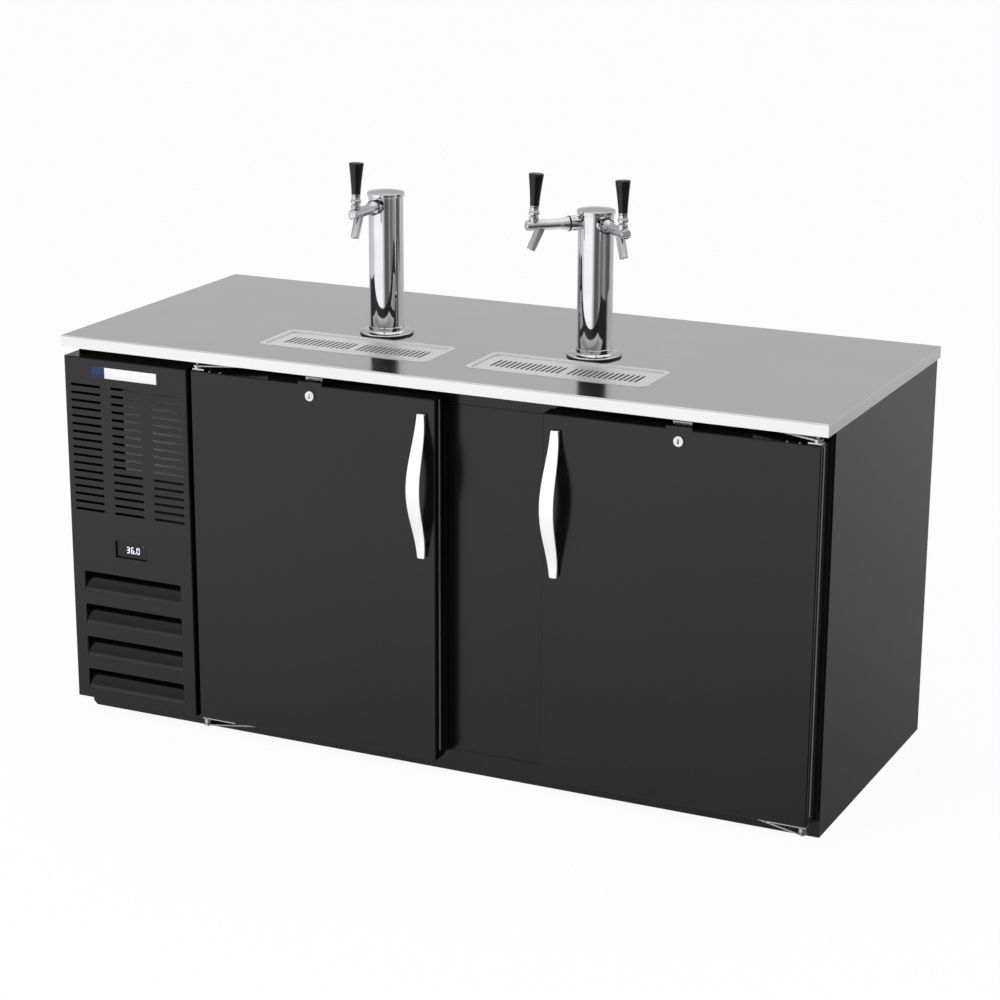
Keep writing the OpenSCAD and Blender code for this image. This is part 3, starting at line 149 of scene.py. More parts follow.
def brushed_steel(name, dark, light, rough_low, rough_high, stretch, bump_strength, metallic=1.0):
    # Stainless sheet, belt brushed: fine scratches all one way draw reflections out into streaks. The grit's
    # 0.2 mm lines are drawn 1.6 mm wide so that they show.
    material, tree, shader, place = finish_of(name, {"Metallic": metallic})
    turned = add(tree, "Mapping", inputs={"Vector": place, "Scale": stretch})
    lines = add(tree, "TexNoise", inputs={"Vector": turned.outputs["Vector"], "Scale": per(1.6), "Detail": 2})
    cloud = add(tree, "TexNoise", inputs={"Vector": place, "Scale": per(320), "Detail": 1})
    both = add(tree, "Mix", {"data_type": "FLOAT"},
               {"Factor": 0.35, "A": lines.outputs["Fac"], "B": cloud.outputs["Fac"]})
    tone = add(tree, "ValToRGB", {"stops": [(0.3, linear(dark)), (0.7, linear(light))]},
               {"Fac": both.outputs["Result"]})
    rough = add(tree, "MapRange", inputs={"Value": lines.outputs["Fac"], "From Min": 0.3, "From Max": 0.7,
                                          "To Min": rough_low, "To Max": rough_high})
    bump = add(tree, "Bump", inputs={"Height": lines.outputs["Fac"], "Strength": bump_strength,
                                     "Distance": 0.05 * MM})
    link(tree, shader, {"Base Color": tone.outputs["Color"], "Roughness": rough.outputs["Result"],
                        "Normal": bump.outputs["Normal"]})
    return material


def polished_chrome(name, dark, light, rough_low, rough_high):
    # Brass, polished and chrome plated: a mirror whose polish and hand marks vary softly over 40 mm.
    material, tree, shader, place = finish_of(name, {"Metallic": 1.0})
    haze = add(tree, "TexNoise", inputs={"Vector": place, "Scale": per(40), "Detail": 3})
    tone = add(tree, "ValToRGB", {"stops": [(0.3, linear(dark)), (0.7, linear(light))]},
               {"Fac": haze.outputs["Fac"]})
    rough = add(tree, "MapRange", inputs={"Value": haze.outputs["Fac"], "From Min": 0.3, "From Max": 0.7,
                                          "To Min": rough_low, "To Max": rough_high})
    link(tree, shader, {"Base Color": tone.outputs["Color"], "Roughness": rough.outputs["Result"]})
    return material


def moulded_plastic(name, dark, light, rough_low, rough_high, grain, bump_strength, sockets):
    # Moulded plastic or baked paint: an even colour with a fine tool grain that breaks the highlight.
    material, tree, shader, place = finish_of(name, sockets)
    speck = add(tree, "TexNoise", inputs={"Vector": place, "Scale": per(grain), "Detail": 2})
    cloud = add(tree, "TexNoise", inputs={"Vector": place, "Scale": per(120), "Detail": 1})
    tone = add(tree, "ValToRGB", {"stops": [(0.3, linear(dark)), (0.7, linear(light))]},
               {"Fac": cloud.outputs["Fac"]})
    rough = add(tree, "MapRange", inputs={"Value": cloud.outputs["Fac"], "To Min": rough_low, "To Max": rough_high})
    bump = add(tree, "Bump", inputs={"Height": speck.outputs["Fac"], "Strength": bump_strength,
                                     "Distance": 0.1 * MM})
    link(tree, shader, {"Base Color": tone.outputs["Color"], "Roughness": rough.outputs["Result"],
                        "Normal": bump.outputs["Normal"]})
    return material


def spangled_zinc(name, dark, light, spangle, rough_low, rough_high):
    # Steel, hot dip zinc coated: the zinc freezes into flat crystals a few millimetres across, each its own grey.
    material, tree, shader, place = finish_of(name, {"Metallic": 1.0})
    crystals = add(tree, "TexVoronoi", inputs={"Vector": place, "Scale": per(spangle)})
    tone = add(tree, "ValToRGB", {"stops": [(0.0, linear(dark)), (1.0, linear(light))]},
               {"Fac": crystals.outputs["Color"]})
    rough = add(tree, "MapRange", inputs={"Value": crystals.outputs["Color"], "To Min": rough_low,
                                          "To Max": rough_high})
    link(tree, shader, {"Base Color": tone.outputs["Color"], "Roughness": rough.outputs["Result"]})
    return material


def finned_aluminium():
    # Aluminium foil fins, pressed on tube, 2 mm apart: bands at that spacing, lighter for the fins and darker between
    # them as painted shade in the gaps.
    material, tree, shader, place = finish_of("aluminium_fins_painted_gap_shade", {"Metallic": 1.0})
    fins = add(tree, "TexWave", {"bands_direction": "X"},
               {"Vector": place, "Scale": per(2 * math.pi * 2), "Distortion": 0.6, "Detail": 1})
    tone = add(tree, "ValToRGB", {"stops": [(0.2, linear("#8d9093")), (0.8, linear("#d2d4d6"))]},
               {"Fac": fins.outputs["Fac"]})
    rough = add(tree, "MapRange", inputs={"Value": fins.outputs["Fac"], "To Min": 0.28, "To Max": 0.45})
    link(tree, shader, {"Base Color": tone.outputs["Color"], "Roughness": rough.outputs["Result"]})
    return material


def lit_segment(name, core, edge, strength):
    # Light emitting segment under a diffuser: brightest where the chip sits, a little uneven along its bar.
    material, tree, shader, place = finish_of(name, {"Roughness": 0.4, "Emission Strength": strength})
    glow = add(tree, "TexNoise", inputs={"Vector": place, "Scale": per(4), "Detail": 1})
    tone = add(tree, "ValToRGB", {"stops": [(0.35, linear(edge)), (0.6, linear(core))]},
               {"Fac": glow.outputs["Fac"]})
    link(tree, shader, {"Base Color": tone.outputs["Color"], "Emission Color": tone.outputs["Color"]})
    return material


FINISHES = {
    "cabinet_black": black_powder_coat(),
    "counter_steel": brushed_steel("stainless_sheet_brushed_lengthwise", "#f2f2f2", "#fbfbfb", 0.13, 0.18,
                                   (0.006, 1, 1), 0.04),
    "tray_steel": brushed_steel("stainless_sheet_bright_pressed", "#f2f2f2", "#fdfdfd", 0.4, 0.46,
                                (0.02, 1, 1), 0.06, 0.72),
    "tower_chrome": polished_chrome("brass_polished_chrome_plate", "#ececee", "#f8f8fa", 0.03, 0.06),
    "handle_metal": brushed_steel("zinc_casting_satin_chrome", "#fbfbfb", "#ffffff", 0.3, 0.4, (1, 1, 0.01), 0.05,
                                  0.12),
    "lock_metal": polished_chrome("zinc_casting_bright_nickel", "#ececed", "#fafafa", 0.12, 0.2),
    "hinge_steel": spangled_zinc("steel_bright_zinc_plate", "#d6d8da", "#f4f5f6", 3, 0.22, 0.34),
    "liner_grey": moulded_plastic("abs_vacuum_formed_grey", "#c2c4c6", "#cfd1d3", 0.4, 0.5, 2.5, 0.12,
                                  {"IOR": 1.5}),
    "seal_rubber": moulded_plastic("pvc_extruded_soft_black", "#0b0b0b", "#121212", 0.55, 0.68, 1.5, 0.1,
                                   {"IOR": 1.5}),
    "knob_black": moulded_plastic("phenolic_moulded_gloss_black", "#050505", "#090909", 0.2, 0.27, 6, 0.02,
                                  {"IOR": 1.55}),
    "display_glass": moulded_plastic("acrylic_smoked_polished", "#0b0c0e", "#101114", 0.26, 0.32, 8, 0.01,
                                     {"IOR": 1.49}),
    "control_plastic": moulded_plastic("abs_moulded_black", "#0c0c0d", "#131314", 0.42, 0.52, 2, 0.12,
                                       {"IOR": 1.5}),
    "box_grey": moulded_plastic("steel_box_grey_baked_paint", "#9a9c9e", "#a8aaac", 0.4, 0.5, 4, 0.08,
                                {"IOR": 1.5}),
    "compressor_black": moulded_plastic("steel_shell_black_enamel", "#070708", "#0c0c0d", 0.22, 0.3, 9, 0.05,
                                        {"IOR": 1.5}),
    "coil_aluminium": finned_aluminium(),
    "bracket_steel": spangled_zinc("steel_hot_dip_galvanised", "#8e9294", "#c4c8ca", 14, 0.3, 0.5),
    "valve_brass": polished_chrome("brass_turned_bright", "#b8954a", "#d6b566", 0.16, 0.26),
}
# Taps are buffed by hand, a little softer than the columns. Pan basins are dark steel as painted shade under the tray
# slots.
TAP_CHROME = polished_chrome("brass_buffed_chrome_plate", "#e2e2e5", "#f6f6f8", 0.05, 0.1)
PAN_PAINTED_SHADE = brushed_steel("stainless_sheet_painted_basin_shade", "#48484a", "#58585a", 0.5, 0.6, (0.02, 1, 1), 0.06)
SEGMENT_WHITE = lit_segment("led_segment_cold_white", "#eef2ff", "#c9d3f2", 1.0)
SEGMENT_RED = lit_segment("led_lamp_red", "#a03a28", "#5a1c12", 0.45)
# Unlit lamps: a faint painted glow so that they show grey on the dark window.
SEGMENT_UNLIT_GLOW = lit_segment("led_lamp_unlit_painted_glow", "#4c515c", "#343943", 0.3)
# The handles' sides: the same zinc casting darkened as painted shade.
HANDLE_SHADED_SIDE = brushed_steel("zinc_casting_painted_shade_side", "#7c7c7e", "#8a8a8c", 0.35, 0.45, (1, 1, 0.01), 0.05, 0.6)
EDGE_BLACK = moulded_plastic("abs_extruded_matt_black", "#070707", "#0b0b0b", 0.6, 0.7, 2, 0.1,
                             {"IOR": 1.5, "Specular IOR Level": 0.2})
# The liner's lip: the liner's grey darkened as painted shade.
LINER_LIP_PAINTED_SHADE = moulded_plastic("liner_lip_grey_painted_shade", "#646668", "#707274", 0.45, 0.55, 2, 0.1, {"IOR": 1.5})
PLATE_WHITE = moulded_plastic("aluminium_plate_white_enamel", "#e6e6e6", "#f0f0f0", 0.3, 0.4, 5, 0.03, {"IOR": 1.5})
PLATE_BLUE = moulded_plastic("aluminium_plate_blue_enamel", "#0e2a58", "#13346a", 0.3, 0.4, 5, 0.03, {"IOR": 1.5})

for row in frame["record"]["subparts"]:
    node = frame["nodes"][row["node"]]
    node.data.materials.clear()
    tap_part = row["node"].startswith(("tap_body", "tap_lever", "bonnets", "coupling_nuts", "shanks"))
    node.data.materials.append(TAP_CHROME if tap_part else FINISHES[row["material_slot"]])


def piece(name, bm, body, slot, material=None, replaces=(), smooth_angle=35):
    """Closes a bmesh into a named piece that rides on a body, in metres at the origin."""
    bmesh.ops.scale(bm, vec=(MM, MM, MM), verts=bm.verts)
    mesh = bpy.data.meshes.new(name)
    bm.to_mesh(mesh)
    bm.free()
    mesh.materials.append(material or FINISHES[slot])
    mesh.shade_smooth()
    mesh.set_sharp_from_angle(angle=math.radians(smooth_angle))
    obj = bpy.data.objects.new(name, mesh)
    bpy.context.collection.objects.link(obj)
    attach(obj, body)
    if replaces:
        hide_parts(*replaces)
    return obj


def round_edges(bm, edges, width, segments=3):
    bmesh.ops.bevel(bm, geom=edges, offset=width, affect="EDGES", segments=segments, profile=0.5, material=-1,
                    clamp_overlap=True)


def sharp_edges(bm, degrees=50):
    bm.normal_update()
    limit = math.radians(degrees)
    return [e for e in bm.edges if len(e.link_faces) == 2 and e.calc_face_angle() > limit]


def slab(bm, low, high, edge, segments=3):
    """Adds a block between two corners, with its edges rounded."""
    size = [b - a for a, b in zip(low, high)]
    middle = [(a + b) / 2 for a, b in zip(low, high)]
    made = bmesh.ops.create_cube(bm, size=1, matrix=Matrix.Translation(middle) @ Matrix.Diagonal((*size, 1)))
    edges = {e for v in made["verts"] for e in v.link_edges}
    round_edges(bm, list(edges), edge, segments)


def turned(bm, profile, matrix=UP, steps=32):
    """Adds a solid of revolution about Z from a profile of radius and height, which ends on the axis or closes."""
    part = bmesh.new()
    corners = [part.verts.new((r, 0, z)) for r, z in profile]
    edges = [part.edges.new(pair) for pair in zip(corners, corners[1:])]
    if profile[0][0] > 0:
        edges.append(part.edges.new((corners[-1], corners[0])))
    bmesh.ops.spin(part, geom=corners + edges, cent=(0, 0, 0), axis=(0, 0, 1), angle=2 * math.pi, steps=steps,
                   use_merge=True)
    bmesh.ops.remove_doubles(part, verts=part.verts, dist=0.001)
    bmesh.ops.recalc_face_normals(part, faces=part.faces)
    bmesh.ops.transform(part, matrix=matrix, verts=part.verts)
    mesh = bpy.data.meshes.new("turned_part")
    part.to_mesh(mesh)
    part.free()
    bm.from_mesh(mesh)
    bpy.data.meshes.remove(mesh)


# Door handles: a strip cast in a bow, wider at the middle, with rounded edges, on two wedge feet; its sides take a
# darker copy of the casting as painted shade

HANDLE_LENGTH = 323
HANDLE_REACH = 50
HANDLE_BOW = 38.5
HANDLE_WIDTH = 33.5
HANDLE_END_WIDTH = 18
HANDLE_THICK = 5
HANDLE_FOOT_WIDTH = 16
HANDLE_FOOT_HIGH = 54
HANDLE_FOOT_SLOPE = 12
HANDLE_ROWS = 56
HANDLE_CROWN = 1.2


def bow_at(t):
    """How far the strip has come back towards the door, from 0 at the middle to 1 at its ends."""
    return (1 - math.cos(math.pi * t)) / 2


def door_handle(name, body, x, node):
    bm = bmesh.new()
    half = HANDLE_LENGTH / 2
    bmesh.ops.create_grid(bm, x_segments=8, y_segments=HANDLE_ROWS, size=1)
    for v in bm.verts:
        t = abs(v.co.y)
        width = HANDLE_END_WIDTH + (HANDLE_WIDTH - HANDLE_END_WIDTH) * (1 - t * t)
        crown = HANDLE_CROWN * v.co.x ** 2
        v.co = (v.co.x * width / 2, -HANDLE_REACH + HANDLE_BOW * bow_at(t) + crown, v.co.y * half)
    bmesh.ops.recalc_face_normals(bm, faces=bm.faces)
    if sum(f.normal.y for f in bm.faces) > 0:
        bmesh.ops.reverse_faces(bm, faces=bm.faces)
    bmesh.ops.solidify(bm, geom=bm.faces[:], thickness=HANDLE_THICK)
    bmesh.ops.recalc_face_normals(bm, faces=bm.faces)
    round_edges(bm, sharp_edges(bm), 1.6)
    strip_back = -HANDLE_REACH + HANDLE_BOW + HANDLE_THICK
    for end in (-1, 1):
        z0, z1 = sorted((end * (half - 1.5), end * (half - HANDLE_FOOT_HIGH)))
        made = bmesh.ops.create_cube(bm, size=1)["verts"]
        for v in made:
            front = v.co.y < 0
            z = z1 if v.co.z > 0 else z0
            if not front and (v.co.z > 0) == (end < 0):
                z += end * HANDLE_FOOT_SLOPE
            v.co = (math.copysign(HANDLE_FOOT_WIDTH / 2, v.co.x), strip_back - 3 if front else 0, z)
        round_edges(bm, list({e for v in made for e in v.link_edges}), 1.2)
    bmesh.ops.translate(bm, vec=(x, DOOR_FRONT, HANDLE_Z), verts=bm.verts)
    mesh = piece(name, bm, body, "handle_metal", replaces=[node]).data
    # Faces turned sideways take the darker copy: painted shade on the handle's sides.
    mesh.materials.append(HANDLE_SHADED_SIDE)
    for face in mesh.polygons:
        if abs(face.normal.x) > 0.75:
            face.material_index = 1


door_handle("left_bow_handle", "left_door", 5.5, "left_handle")
door_handle("right_bow_handle", "right_door", 319.5, "right_handle")


# Number display: lit segments on the smoked window

DIGIT_WIDE = 8.6
DIGIT_TALL = 15.5
BAR_THICK = 2.1
BAR_DEEP = 0.25
DIGIT_PLACES = (-11.5, 0.6, 15.6)
DIGITS = ("abcdg", "acdefg", "abcdef")
BARS = {"a": (0, 1, 0), "b": (0.5, 0.5, 1), "c": (0.5, -0.5, 1), "d": (0, -1, 0), "e": (-0.5, -0.5, 1),
        "f": (-0.5, 0.5, 1), "g": (0, 0, 0)}


def raised(bm, verts, depth):
    """Thickens a flat shape that faces Z."""
    faces = list({f for v in verts for f in v.link_faces})
    bmesh.ops.extrude_face_region(bm, geom=faces)
    bmesh.ops.translate(bm, vec=(0, 0, depth), verts=list({v for f in faces for v in f.verts}))


def lit_bar(bm, place, length, standing):
    """A six-sided bar with pointed ends, as on a segment display."""
    made = bmesh.ops.create_circle(bm, cap_ends=True, radius=BAR_THICK / 2, segments=6)["verts"]
    for v in made:
        if abs(v.co.x) > 0.01:
            v.co.x += math.copysign(length / 2 - BAR_THICK / 2, v.co.x)
    turn = Matrix.Rotation(math.radians(90 if standing else 0), 4, "Z")
    bmesh.ops.transform(bm, matrix=Matrix.Translation((*place, 0)) @ turn, verts=made)
    raised(bm, made, BAR_DEEP)


def round_lamp(bm, place, radius):
    made = bmesh.ops.create_circle(bm, cap_ends=True, radius=radius, segments=20)["verts"]
    bmesh.ops.translate(bm, vec=(*place, 0), verts=made)
    raised(bm, made, BAR_DEEP)


def on_window(bm):
    bmesh.ops.recalc_face_normals(bm, faces=bm.faces)
    bmesh.ops.transform(bm, matrix=Matrix.Translation((PANEL_MIDDLE, WINDOW_FRONT, DISPLAY_Z)) @ STANDING,
                        verts=bm.verts)
    return bm


bm = bmesh.new()
for middle, bars in zip(DIGIT_PLACES, DIGITS):
    for key in bars:
        across, rise, standing = BARS[key]
        span = DIGIT_TALL / 2 - BAR_THICK / 2 if standing else DIGIT_WIDE - BAR_THICK
        place = (middle + across * (DIGIT_WIDE - BAR_THICK), rise * (DIGIT_TALL - BAR_THICK) / 2)
        lit_bar(bm, place, span, standing)
round_lamp(bm, (7.6, -DIGIT_TALL / 2 + 1.1), 1.3)
piece("display_digits", on_window(bm), "cabinet", "display_glass", SEGMENT_WHITE)
# Unlit indicator lamps, drawn with a faint painted glow.
bm = bmesh.new()
for place in ((-31, 0), (31, -1), (31, -8.5), (31, -15)):
    round_lamp(bm, place, 1.0)
piece("display_lamps", on_window(bm), "cabinet", "display_glass", SEGMENT_UNLIT_GLOW)
bm = bmesh.new()
round_lamp(bm, (30.5, 13), 2.1)
piece("display_alarm_lamp", on_window(bm), "cabinet", "display_glass", SEGMENT_RED)

# Blank name plate on the machine panel

PLATE_LOW = (-836, DOOR_FRONT - 1, 824)
PLATE_HIGH = (-664, DOOR_FRONT, 849)
PLATE_FIELD = 34
bm = bmesh.new()
slab(bm, PLATE_LOW, PLATE_HIGH, 0.4)
piece("name_plate", bm, "cabinet", "cabinet_black", PLATE_WHITE)
bm = bmesh.new()
slab(bm, (PLATE_LOW[0], PLATE_LOW[1] - 0.4, PLATE_LOW[2]), (PLATE_LOW[0] + PLATE_FIELD, DOOR_FRONT - 0.6,
                                                          PLATE_HIGH[2]), 0.3)
piece("name_plate_field", bm, "cabinet", "cabinet_black", PLATE_BLUE)


# Door edges: a black moulding on the skin's sides, with the liner's lip behind it in a darker grey than the liner, as
# painted shade

DOORS = {"left": (-574, 36), "right": (289, 899)}
DOOR_TOP = 867
EDGE_PROUD = 0.5


def door_sides(name, side, y0, y1, z0, z1, slot, material):
    bm = bmesh.new()
    for x, out in zip(DOORS[side], (-EDGE_PROUD, EDGE_PROUD)):
        slab(bm, (min(x, x + out), y0, z0), (max(x, x + out), y1, z1), 0.15, 1)
    piece(name, bm, side + "_door", slot, material)


for side in DOORS:
    door_sides(side + "_edge_moulding", side, -404, -396, 46, 863, "control_plastic", EDGE_BLACK)
    door_sides(side + "_liner_lip", side, -396, -389, 60, 864, "liner_grey", LINER_LIP_PAINTED_SHADE)
    door_sides(side + "_rear_moulding", side, -389, -369.5, 46, 863, "control_plastic", EDGE_BLACK)

# Seam where the post meets the top rail

bm = bmesh.new()
slab(bm, (16, CABINET_FRONT - 0.3, 847.3), (309, CABINET_FRONT + 0.3, 848.7), 0.1, 1)
piece("post_seam", bm, "cabinet", "seal_rubber")

# Screws: pan heads with a socket, on the door tops by the hinges and round the machine covers

PAN_HEAD = [(0, 1.4), (1.1, 1.4), (1.4, 2.7), (2.5, 2.3), (3.6, 0.9), (3.6, 0), (0, 0)]
TO_REAR = Matrix.Rotation(math.radians(-90), 4, "X")
TO_LEFT = Matrix.Rotation(math.radians(-90), 4, "Y")
TO_RIGHT = Matrix.Rotation(math.radians(90), 4, "Y")


def screws(name, body, slot, places, turn=UP):
    bm = bmesh.new()
    for place in places:
        turned(bm, PAN_HEAD, Matrix.Translation(place) @ turn, 20)
    piece(name, bm, body, slot)


for side, hinge_edge, inward in (("left", -574, 1), ("right", 899, -1)):
    screws(side + "_door_screws", side + "_door", "hinge_steel",
           [(hinge_edge + inward * far, -406, DOOR_TOP) for far in (47, 74)])
COVER_ROWS = (84, 270, 455, 640, 826)
screws("rear_cover_screws", "cabinet", "hinge_steel", [(x, 352.5, z) for x in (-894, -599) for z in COVER_ROWS],
       TO_REAR)
screws("side_cover_screws", "cabinet", "hinge_steel",
       [(-909.5, y, z) for y in (-336, 0, 336) for z in COVER_ROWS[::2]], TO_LEFT)

# Keg space lining: zinc coated sheets on the walls, with a rubber grommet where the gas line comes in

SHEET = 0.8
bm = bmesh.new()
for low, high in (
        ((-543, -300, 62), (868, 307.5, 62 + SHEET)),
        ((868 - SHEET, -340, 63), (868, 307.5, 847)),
        ((-543, -340, 63), (-543 + SHEET, -42, 847)), ((-543, -42, 63), (-543 + SHEET, 262, 558)),
        ((-543, 262, 63), (-543 + SHEET, 307.5, 847)),
        ((-542, 307.5 - SHEET, 63), (707.5, 307.5, 847)), ((751.5, 307.5 - SHEET, 63), (867, 307.5, 847)),
        ((707.5, 307.5 - SHEET, 63), (751.5, 307.5, 218)), ((707.5, 307.5 - SHEET, 262), (751.5, 307.5, 847)),
        ((-542, -340, 848 - SHEET), (-295, 306, 848)), ((-219, -340, 848 - SHEET), (219, 306, 848)),
        ((295, -340, 848 - SHEET), (867, 306, 848))):
    slab(bm, low, high, 0.3, 1)
for x in TOWER_PLACES:
    for y0, y1 in ((-340, -232), (-203, -112), (-34, 306)):
        slab(bm, (x - 38, y0, 848 - SHEET), (x + 38, y1, 848), 0.3, 1)
piece("keg_space_lining", bm, "cabinet", "bracket_steel")
bm = bmesh.new()
turned(bm, [(15.5, 0), (34, 0), (34, 1.5), (31, 3), (18, 3), (15.5, 1.5)],
       Matrix.Translation((729.5, 307.5 - SHEET, 240)) @ STANDING, 48)
piece("gas_line_grommet", bm, "cabinet", "seal_rubber")

# Fan guard on the evaporator: wire rings on crossed spokes

GUARD_PLACE = Matrix.Translation((-425, 110, 700)) @ TO_RIGHT
WIRE = 1.5
bm = bmesh.new()
for radius in (20, 38, 56, 74, 84):
    loop = [(radius + WIRE * math.cos(k * math.pi / 4), 4 + WIRE * math.sin(k * math.pi / 4)) for k in range(8)]
    turned(bm, loop, GUARD_PLACE, 48)
for k in range(4):
    made = bmesh.new()
    slab(made, (-84, -WIRE, 0.5), (84, WIRE, 3), 0.6, 2)
    mesh = bpy.data.meshes.new("spoke")
    bmesh.ops.transform(made, matrix=GUARD_PLACE @ Matrix.Rotation(k * math.pi / 4, 4, "Z"), verts=made.verts)
    made.to_mesh(mesh)
    made.free()
    bm.from_mesh(mesh)
    bpy.data.meshes.remove(mesh)
piece("evaporator_fan_guard", bm, "cabinet", "hinge_steel")

# Rubber lip of each tower's gasket, turned up round the foot of the flange

bm = bmesh.new()
for x in TOWER_PLACES:
    turned(bm, [(57, 915), (60.6, 915), (60.9, 916), (60.4, 918.6), (59.7, 919), (59.6, 916.4), (57, 916.4)],
           Matrix.Translation((x, TOWER_Y, 0)), 64)
piece("tower_gasket_lips", bm, "cabinet", "seal_rubber")

# Taps: spouts with a rolled lip, washers at the nuts, dished end plugs, a cast ring and cup on each lever, and
# turned knobs with a domed top

TAP_SPREAD = 47
TAPS = ((-257, 0), (257, -TAP_SPREAD), (257, TAP_SPREAD))
TAP_Z = 1212
SPOUT_ROOT = (124.15, 0, 0)
SPOUT_TURN = 155
SPOUT_LENGTH = 58.5
SPOUT_TUBE = [(7.2, 6), (10.4, 6), (10.4, 10), (9.5, SPOUT_LENGTH - 2), (9.7, SPOUT_LENGTH - 1.2),
              (9.2, SPOUT_LENGTH), (7.6, SPOUT_LENGTH), (7.2, SPOUT_LENGTH - 1)]
LEVER_CUP = [(5, 8.4), (11, 5.7), (11.6, 5.5), (11.8, 6.3), (11.8, 11.6), (11.3, 12.8), (9.9, 13.6), (9.7, 14.4),
             (9.7, 22), (10.1, 23), (10.1, 25), (5, 25)]
WASHER = [(13, 61.1), (16.2, 61.1), (16.9, 61.5), (16.9, 63.6), (16.2, 64), (13, 64)]
END_PLUG = [(0, 161), (2.2, 160.9), (2.8, 160.3), (5.6, 160.3), (6.4, 161.1), (7.6, 161.1), (8.2, 160.2), (8.2, 159),
            (0, 159)]
LEVER_PIVOT = (142, 0, 18)
LEVER_LEAN = 3
KNOB_FOOT = 25
KNOB_TALL = 69.5
KNOB_END = KNOB_FOOT + KNOB_TALL
KNOB_SIDE = [(10 + 6.5 * (k / 10) ** 1.3, KNOB_FOOT + (KNOB_TALL - 2.6) * k / 10) for k in range(11)]
KNOB_TOP = [(16.2, KNOB_END - 1.5), (15.4, KNOB_END - 0.7), (13.5, KNOB_END - 0.3), (7, KNOB_END), (0, KNOB_END)]

spouts, washers, plugs = bmesh.new(), bmesh.new(), bmesh.new()
for number, (x, spread) in enumerate(TAPS, 1):
    tap = Matrix.Translation((x, TOWER_Y, TAP_Z)) @ Matrix.Rotation(math.radians(spread - 90), 4, "Z")
    turned(spouts, SPOUT_TUBE,
           tap @ Matrix.Translation(SPOUT_ROOT) @ Matrix.Rotation(math.radians(SPOUT_TURN), 4, "Y"), 40)
    turned(washers, WASHER, tap @ TO_RIGHT, 40)
    turned(plugs, END_PLUG, tap @ TO_RIGHT, 40)
    lever = tap @ Matrix.Translation(LEVER_PIVOT) @ Matrix.Rotation(math.radians(-LEVER_LEAN), 4, "Y")
    bm = bmesh.new()
    turned(bm, LEVER_CUP, lever, 40)
    piece(f"lever_cup_{number}", bm, f"lever_{number}", "tower_chrome", TAP_CHROME)
    bm = bmesh.new()
    turned(bm, [(0, KNOB_FOOT)] + KNOB_SIDE + KNOB_TOP, lever, 48)
    piece(f"turned_knob_{number}", bm, f"lever_{number}", "knob_black", replaces=[f"tap_knob_{number}"])
piece("spout_tubes", spouts, "cabinet", "tower_chrome", TAP_CHROME)
piece("tap_washers", washers, "cabinet", "seal_rubber")
piece("tap_end_plugs", plugs, "cabinet", "tower_chrome", TAP_CHROME)

# Basins of the drip pans under the slots, painted dark as shade: a floor and four sides

bm = bmesh.new()
for x in TOWER_PLACES:
    slab(bm, (x - 186, -276, 893), (x + 186, -160, 893.6), 0.2, 1)
    for y in (-277.4, -158.6):
        slab(bm, (x - 187, y - 0.3, 893), (x + 187, y + 0.3, 907.5), 0.2, 1)
    for side in (-187.6, 187.6):
        slab(bm, (x + side - 0.3, -277, 893), (x + side + 0.3, -159, 907.5), 0.2, 1)
piece("drip_pan_basins", bm, "cabinet", "tray_steel", PAN_PAINTED_SHADE)

# Drain strainers in the trays

bm = bmesh.new()
for x in TOWER_PLACES:
    turned(bm, [(6.4, 0), (13, 0), (13, 0.8), (11.5, 1.8), (7.2, 1.8), (6.4, 1)],
           Matrix.Translation((x, TRAY_Y, 893.4)))
piece("drain_strainers", bm, "cabinet", "tray_steel")


# Studio: pale floor, soft lamps, white background, and a light room that only reflections see

